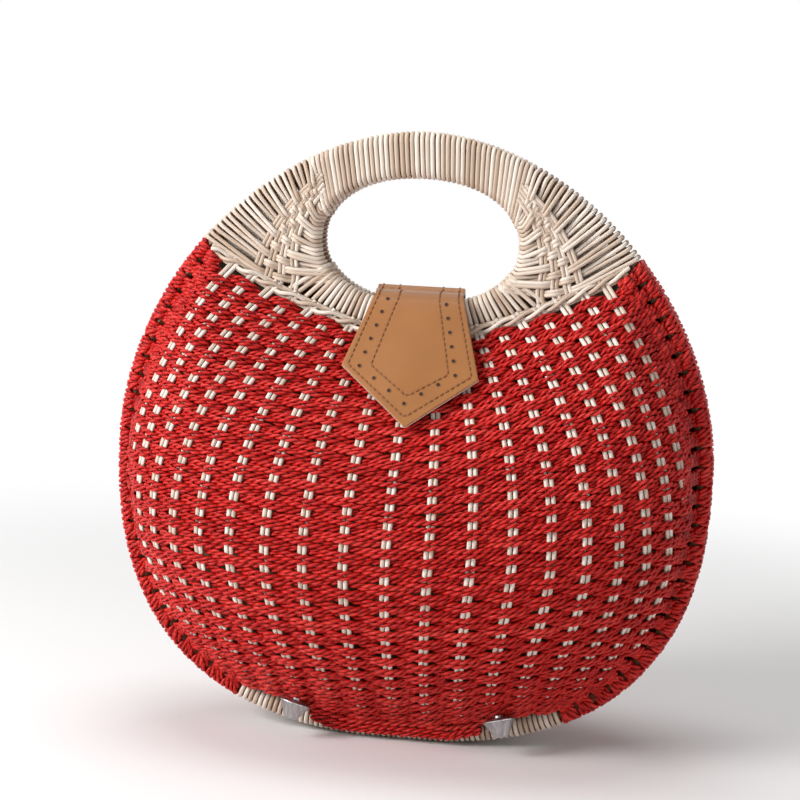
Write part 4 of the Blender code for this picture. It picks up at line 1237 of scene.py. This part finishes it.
def make_flap():
    stops = np.concatenate([np.linspace(-13.4, 12.0, 34), np.linspace(13.0, 70.8, 70), [40.3, 44.1]])
    stops = np.unique(stops * MM)
    top_stops = stops * (70.3 / 70.8)
    leather_piece("flap_backing", flap_surface, flap_edges(0.0), stops, -1.0 * MM, -0.15 * MM, "flap",
                  PALE_EDGE, ("flap_leather",))
    leather_piece("flap_top_layer", flap_surface, flap_edges(0.35 * MM), top_stops, -0.05 * MM, LEATHER_TOP,
                  "flap", LEATHER_EDGE)
    corners = np.array(HOLE_LINE)
    punched = []
    for first, second, count in zip(corners[:-1], corners[1:], HOLES_PER_EDGE):
        punched += [first + (second - first) * index / count for index in range(count)]
    make_seams("flap", flap_surface, (OUTER_SEAM, INNER_SEAM), punched + [corners[-1]], "flap")


def make_strap():
    surface, total = strap_surface(strap_line())

    def edges(down):
        rounding = max(down - (total - STRAP_CORNER), 0.0)
        trim = STRAP_CORNER - math.sqrt(max(STRAP_CORNER ** 2 - rounding ** 2, 0.0))
        return -STRAP_HALF + trim, STRAP_HALF - trim

    def seam(inset, end_inset, start):
        """Line down one side of the strap, across its end and up the other side."""
        across, low = STRAP_HALF - inset * MM, total - end_inset * MM
        return [(-across, start * MM), (-across, low), (across, low), (across, start * MM)]

    leather_piece("strap_leather", surface, edges, np.linspace(0.0, total, 60), -1.0 * MM, LEATHER_TOP,
                  "back_shell", PALE_EDGE, ("flap_strap",))
    punched = walk(seam(6.8, 6.2, 4.5), STRAP_HOLE_PITCH)
    make_seams("strap", surface, (seam(2.6, 2.8, 1.5), seam(11.0, 9.5, 1.5)), punched, "back_shell")


for half in HALVES:
    for make in (make_weave, make_hem, make_stakes, make_rim_wraps, make_grip, make_ring_wraps,
                 make_shoulders, make_border, make_base_wraps, make_lining, make_feet):
        make(*half)
make_binding()
make_gussets()
make_flap()
make_strap()


# Solids of the frame that stay in view

# The hoops and hand rings have no Strand UV map, so the reed look paints them brown all over with its flank
# shade; they show as shade in the gaps between wraps
CARRIED = {
    REED: ("front_rim_hoop", "back_rim_hoop", "front_hand_ring", "back_hand_ring"),
    METAL: ("snap_male", "snap_socket"),
}
for material, names in CARRIED.items():
    for name in names:
        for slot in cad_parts[name].material_slots:
            slot.material = material


# Floor, light and camera

def seen_directly(tree):
    """One where the camera or a mirror looks, zero for the light that reaches the bag."""
    rays = new_node(tree, "LightPath").outputs
    inputs = {0: rays["Is Camera Ray"], 1: rays["Is Glossy Ray"]}
    return new_node(tree, "Math", inputs, operation="MAXIMUM").outputs[0]


def make_stage():
    """Pale floor that fades to plain white away from the bag."""
    side = 6.0
    corners = [(-side, -side, 0.0), (side, -side, 0.0), (side, side, 0.0), (-side, side, 0.0)]
    mesh = plain_mesh("floor", corners, [(0, 1, 2, 3)])
    floor = bpy.data.objects.new("floor", mesh)
    bpy.context.scene.collection.objects.link(floor)
    g = Graph("floor_look", 0.85, 0.2)
    fill(g.shader, {"Base Color": (0.86, 0.855, 0.85, 1.0)})
    distance = g.node("VectorMath", {0: g.position()}, operation="LENGTH").outputs["Value"]
    away = g.node("MapRange", {"Value": distance, "From Min": 0.30, "From Max": 0.75},
                  interpolation_type="SMOOTHSTEP").outputs["Result"]
    fade = g.math("MULTIPLY", away, seen_directly(g.tree))
    white = g.node("Emission").outputs["Emission"]
    mixed = g.node("MixShader", {0: fade, 1: g.shader.outputs["BSDF"], 2: white})
    fill(g.tree.nodes["Material Output"], {"Surface": mixed.outputs["Shader"]})
    mesh.materials.append(g.material)


def make_world():
    """White surroundings, which light the bag less than they show."""
    world = bpy.data.worlds.new("studio")
    bpy.context.scene.world = world
    world.use_nodes = True
    tree = world.node_tree
    strength = new_node(tree, "MapRange", {"Value": seen_directly(tree), "To Min": 0.28, "To Max": 1.0})
    fill(tree.nodes["Background"], {"Color": (1.0, 1.0, 1.0, 1.0), "Strength": strength.outputs["Result"]})


def make_light(name, place, size, power):
    data = bpy.data.lights.new(name, "AREA")
    data.shape = "SQUARE"
    data.size = size
    data.energy = power
    lamp = bpy.data.objects.new(name, data)
    bpy.context.scene.collection.objects.link(lamp)
    lamp.location = place
    direction = Vector((0.0, 0.0, 0.13)) - Vector(place)
    lamp.rotation_euler = direction.to_track_quat("-Z", "Y").to_euler()


def make_camera():
    azimuth, pitch, roll = math.radians(8.51), math.radians(-2.41), math.radians(2.64)
    data = bpy.data.cameras.new("camera")
    data.sensor_width = 36.0
    data.lens = 90.2
    data.shift_x = -0.0283
    data.shift_y = -0.2227
    camera = bpy.data.objects.new("camera", data)
    bpy.context.scene.collection.objects.link(camera)
    aim = Matrix.Rotation(azimuth, 4, "Z") @ Matrix.Rotation(math.pi / 2 + pitch, 4, "X")
    place = Matrix.Translation((math.sin(azimuth), -math.cos(azimuth), 0.3008))
    camera.matrix_world = place @ aim @ Matrix.Rotation(roll, 4, "Z")
    bpy.context.scene.camera = camera


make_stage()
make_world()
make_light("key", (-1.1, -0.8, 0.75), 0.6, 23.0)
make_light("fill", (1.1, -0.9, 0.5), 0.9, 2.2)
make_light("top", (-0.1, 0.1, 1.3), 0.8, 7.0)
make_camera()
bpy.context.scene.view_settings.view_transform = "Standard"
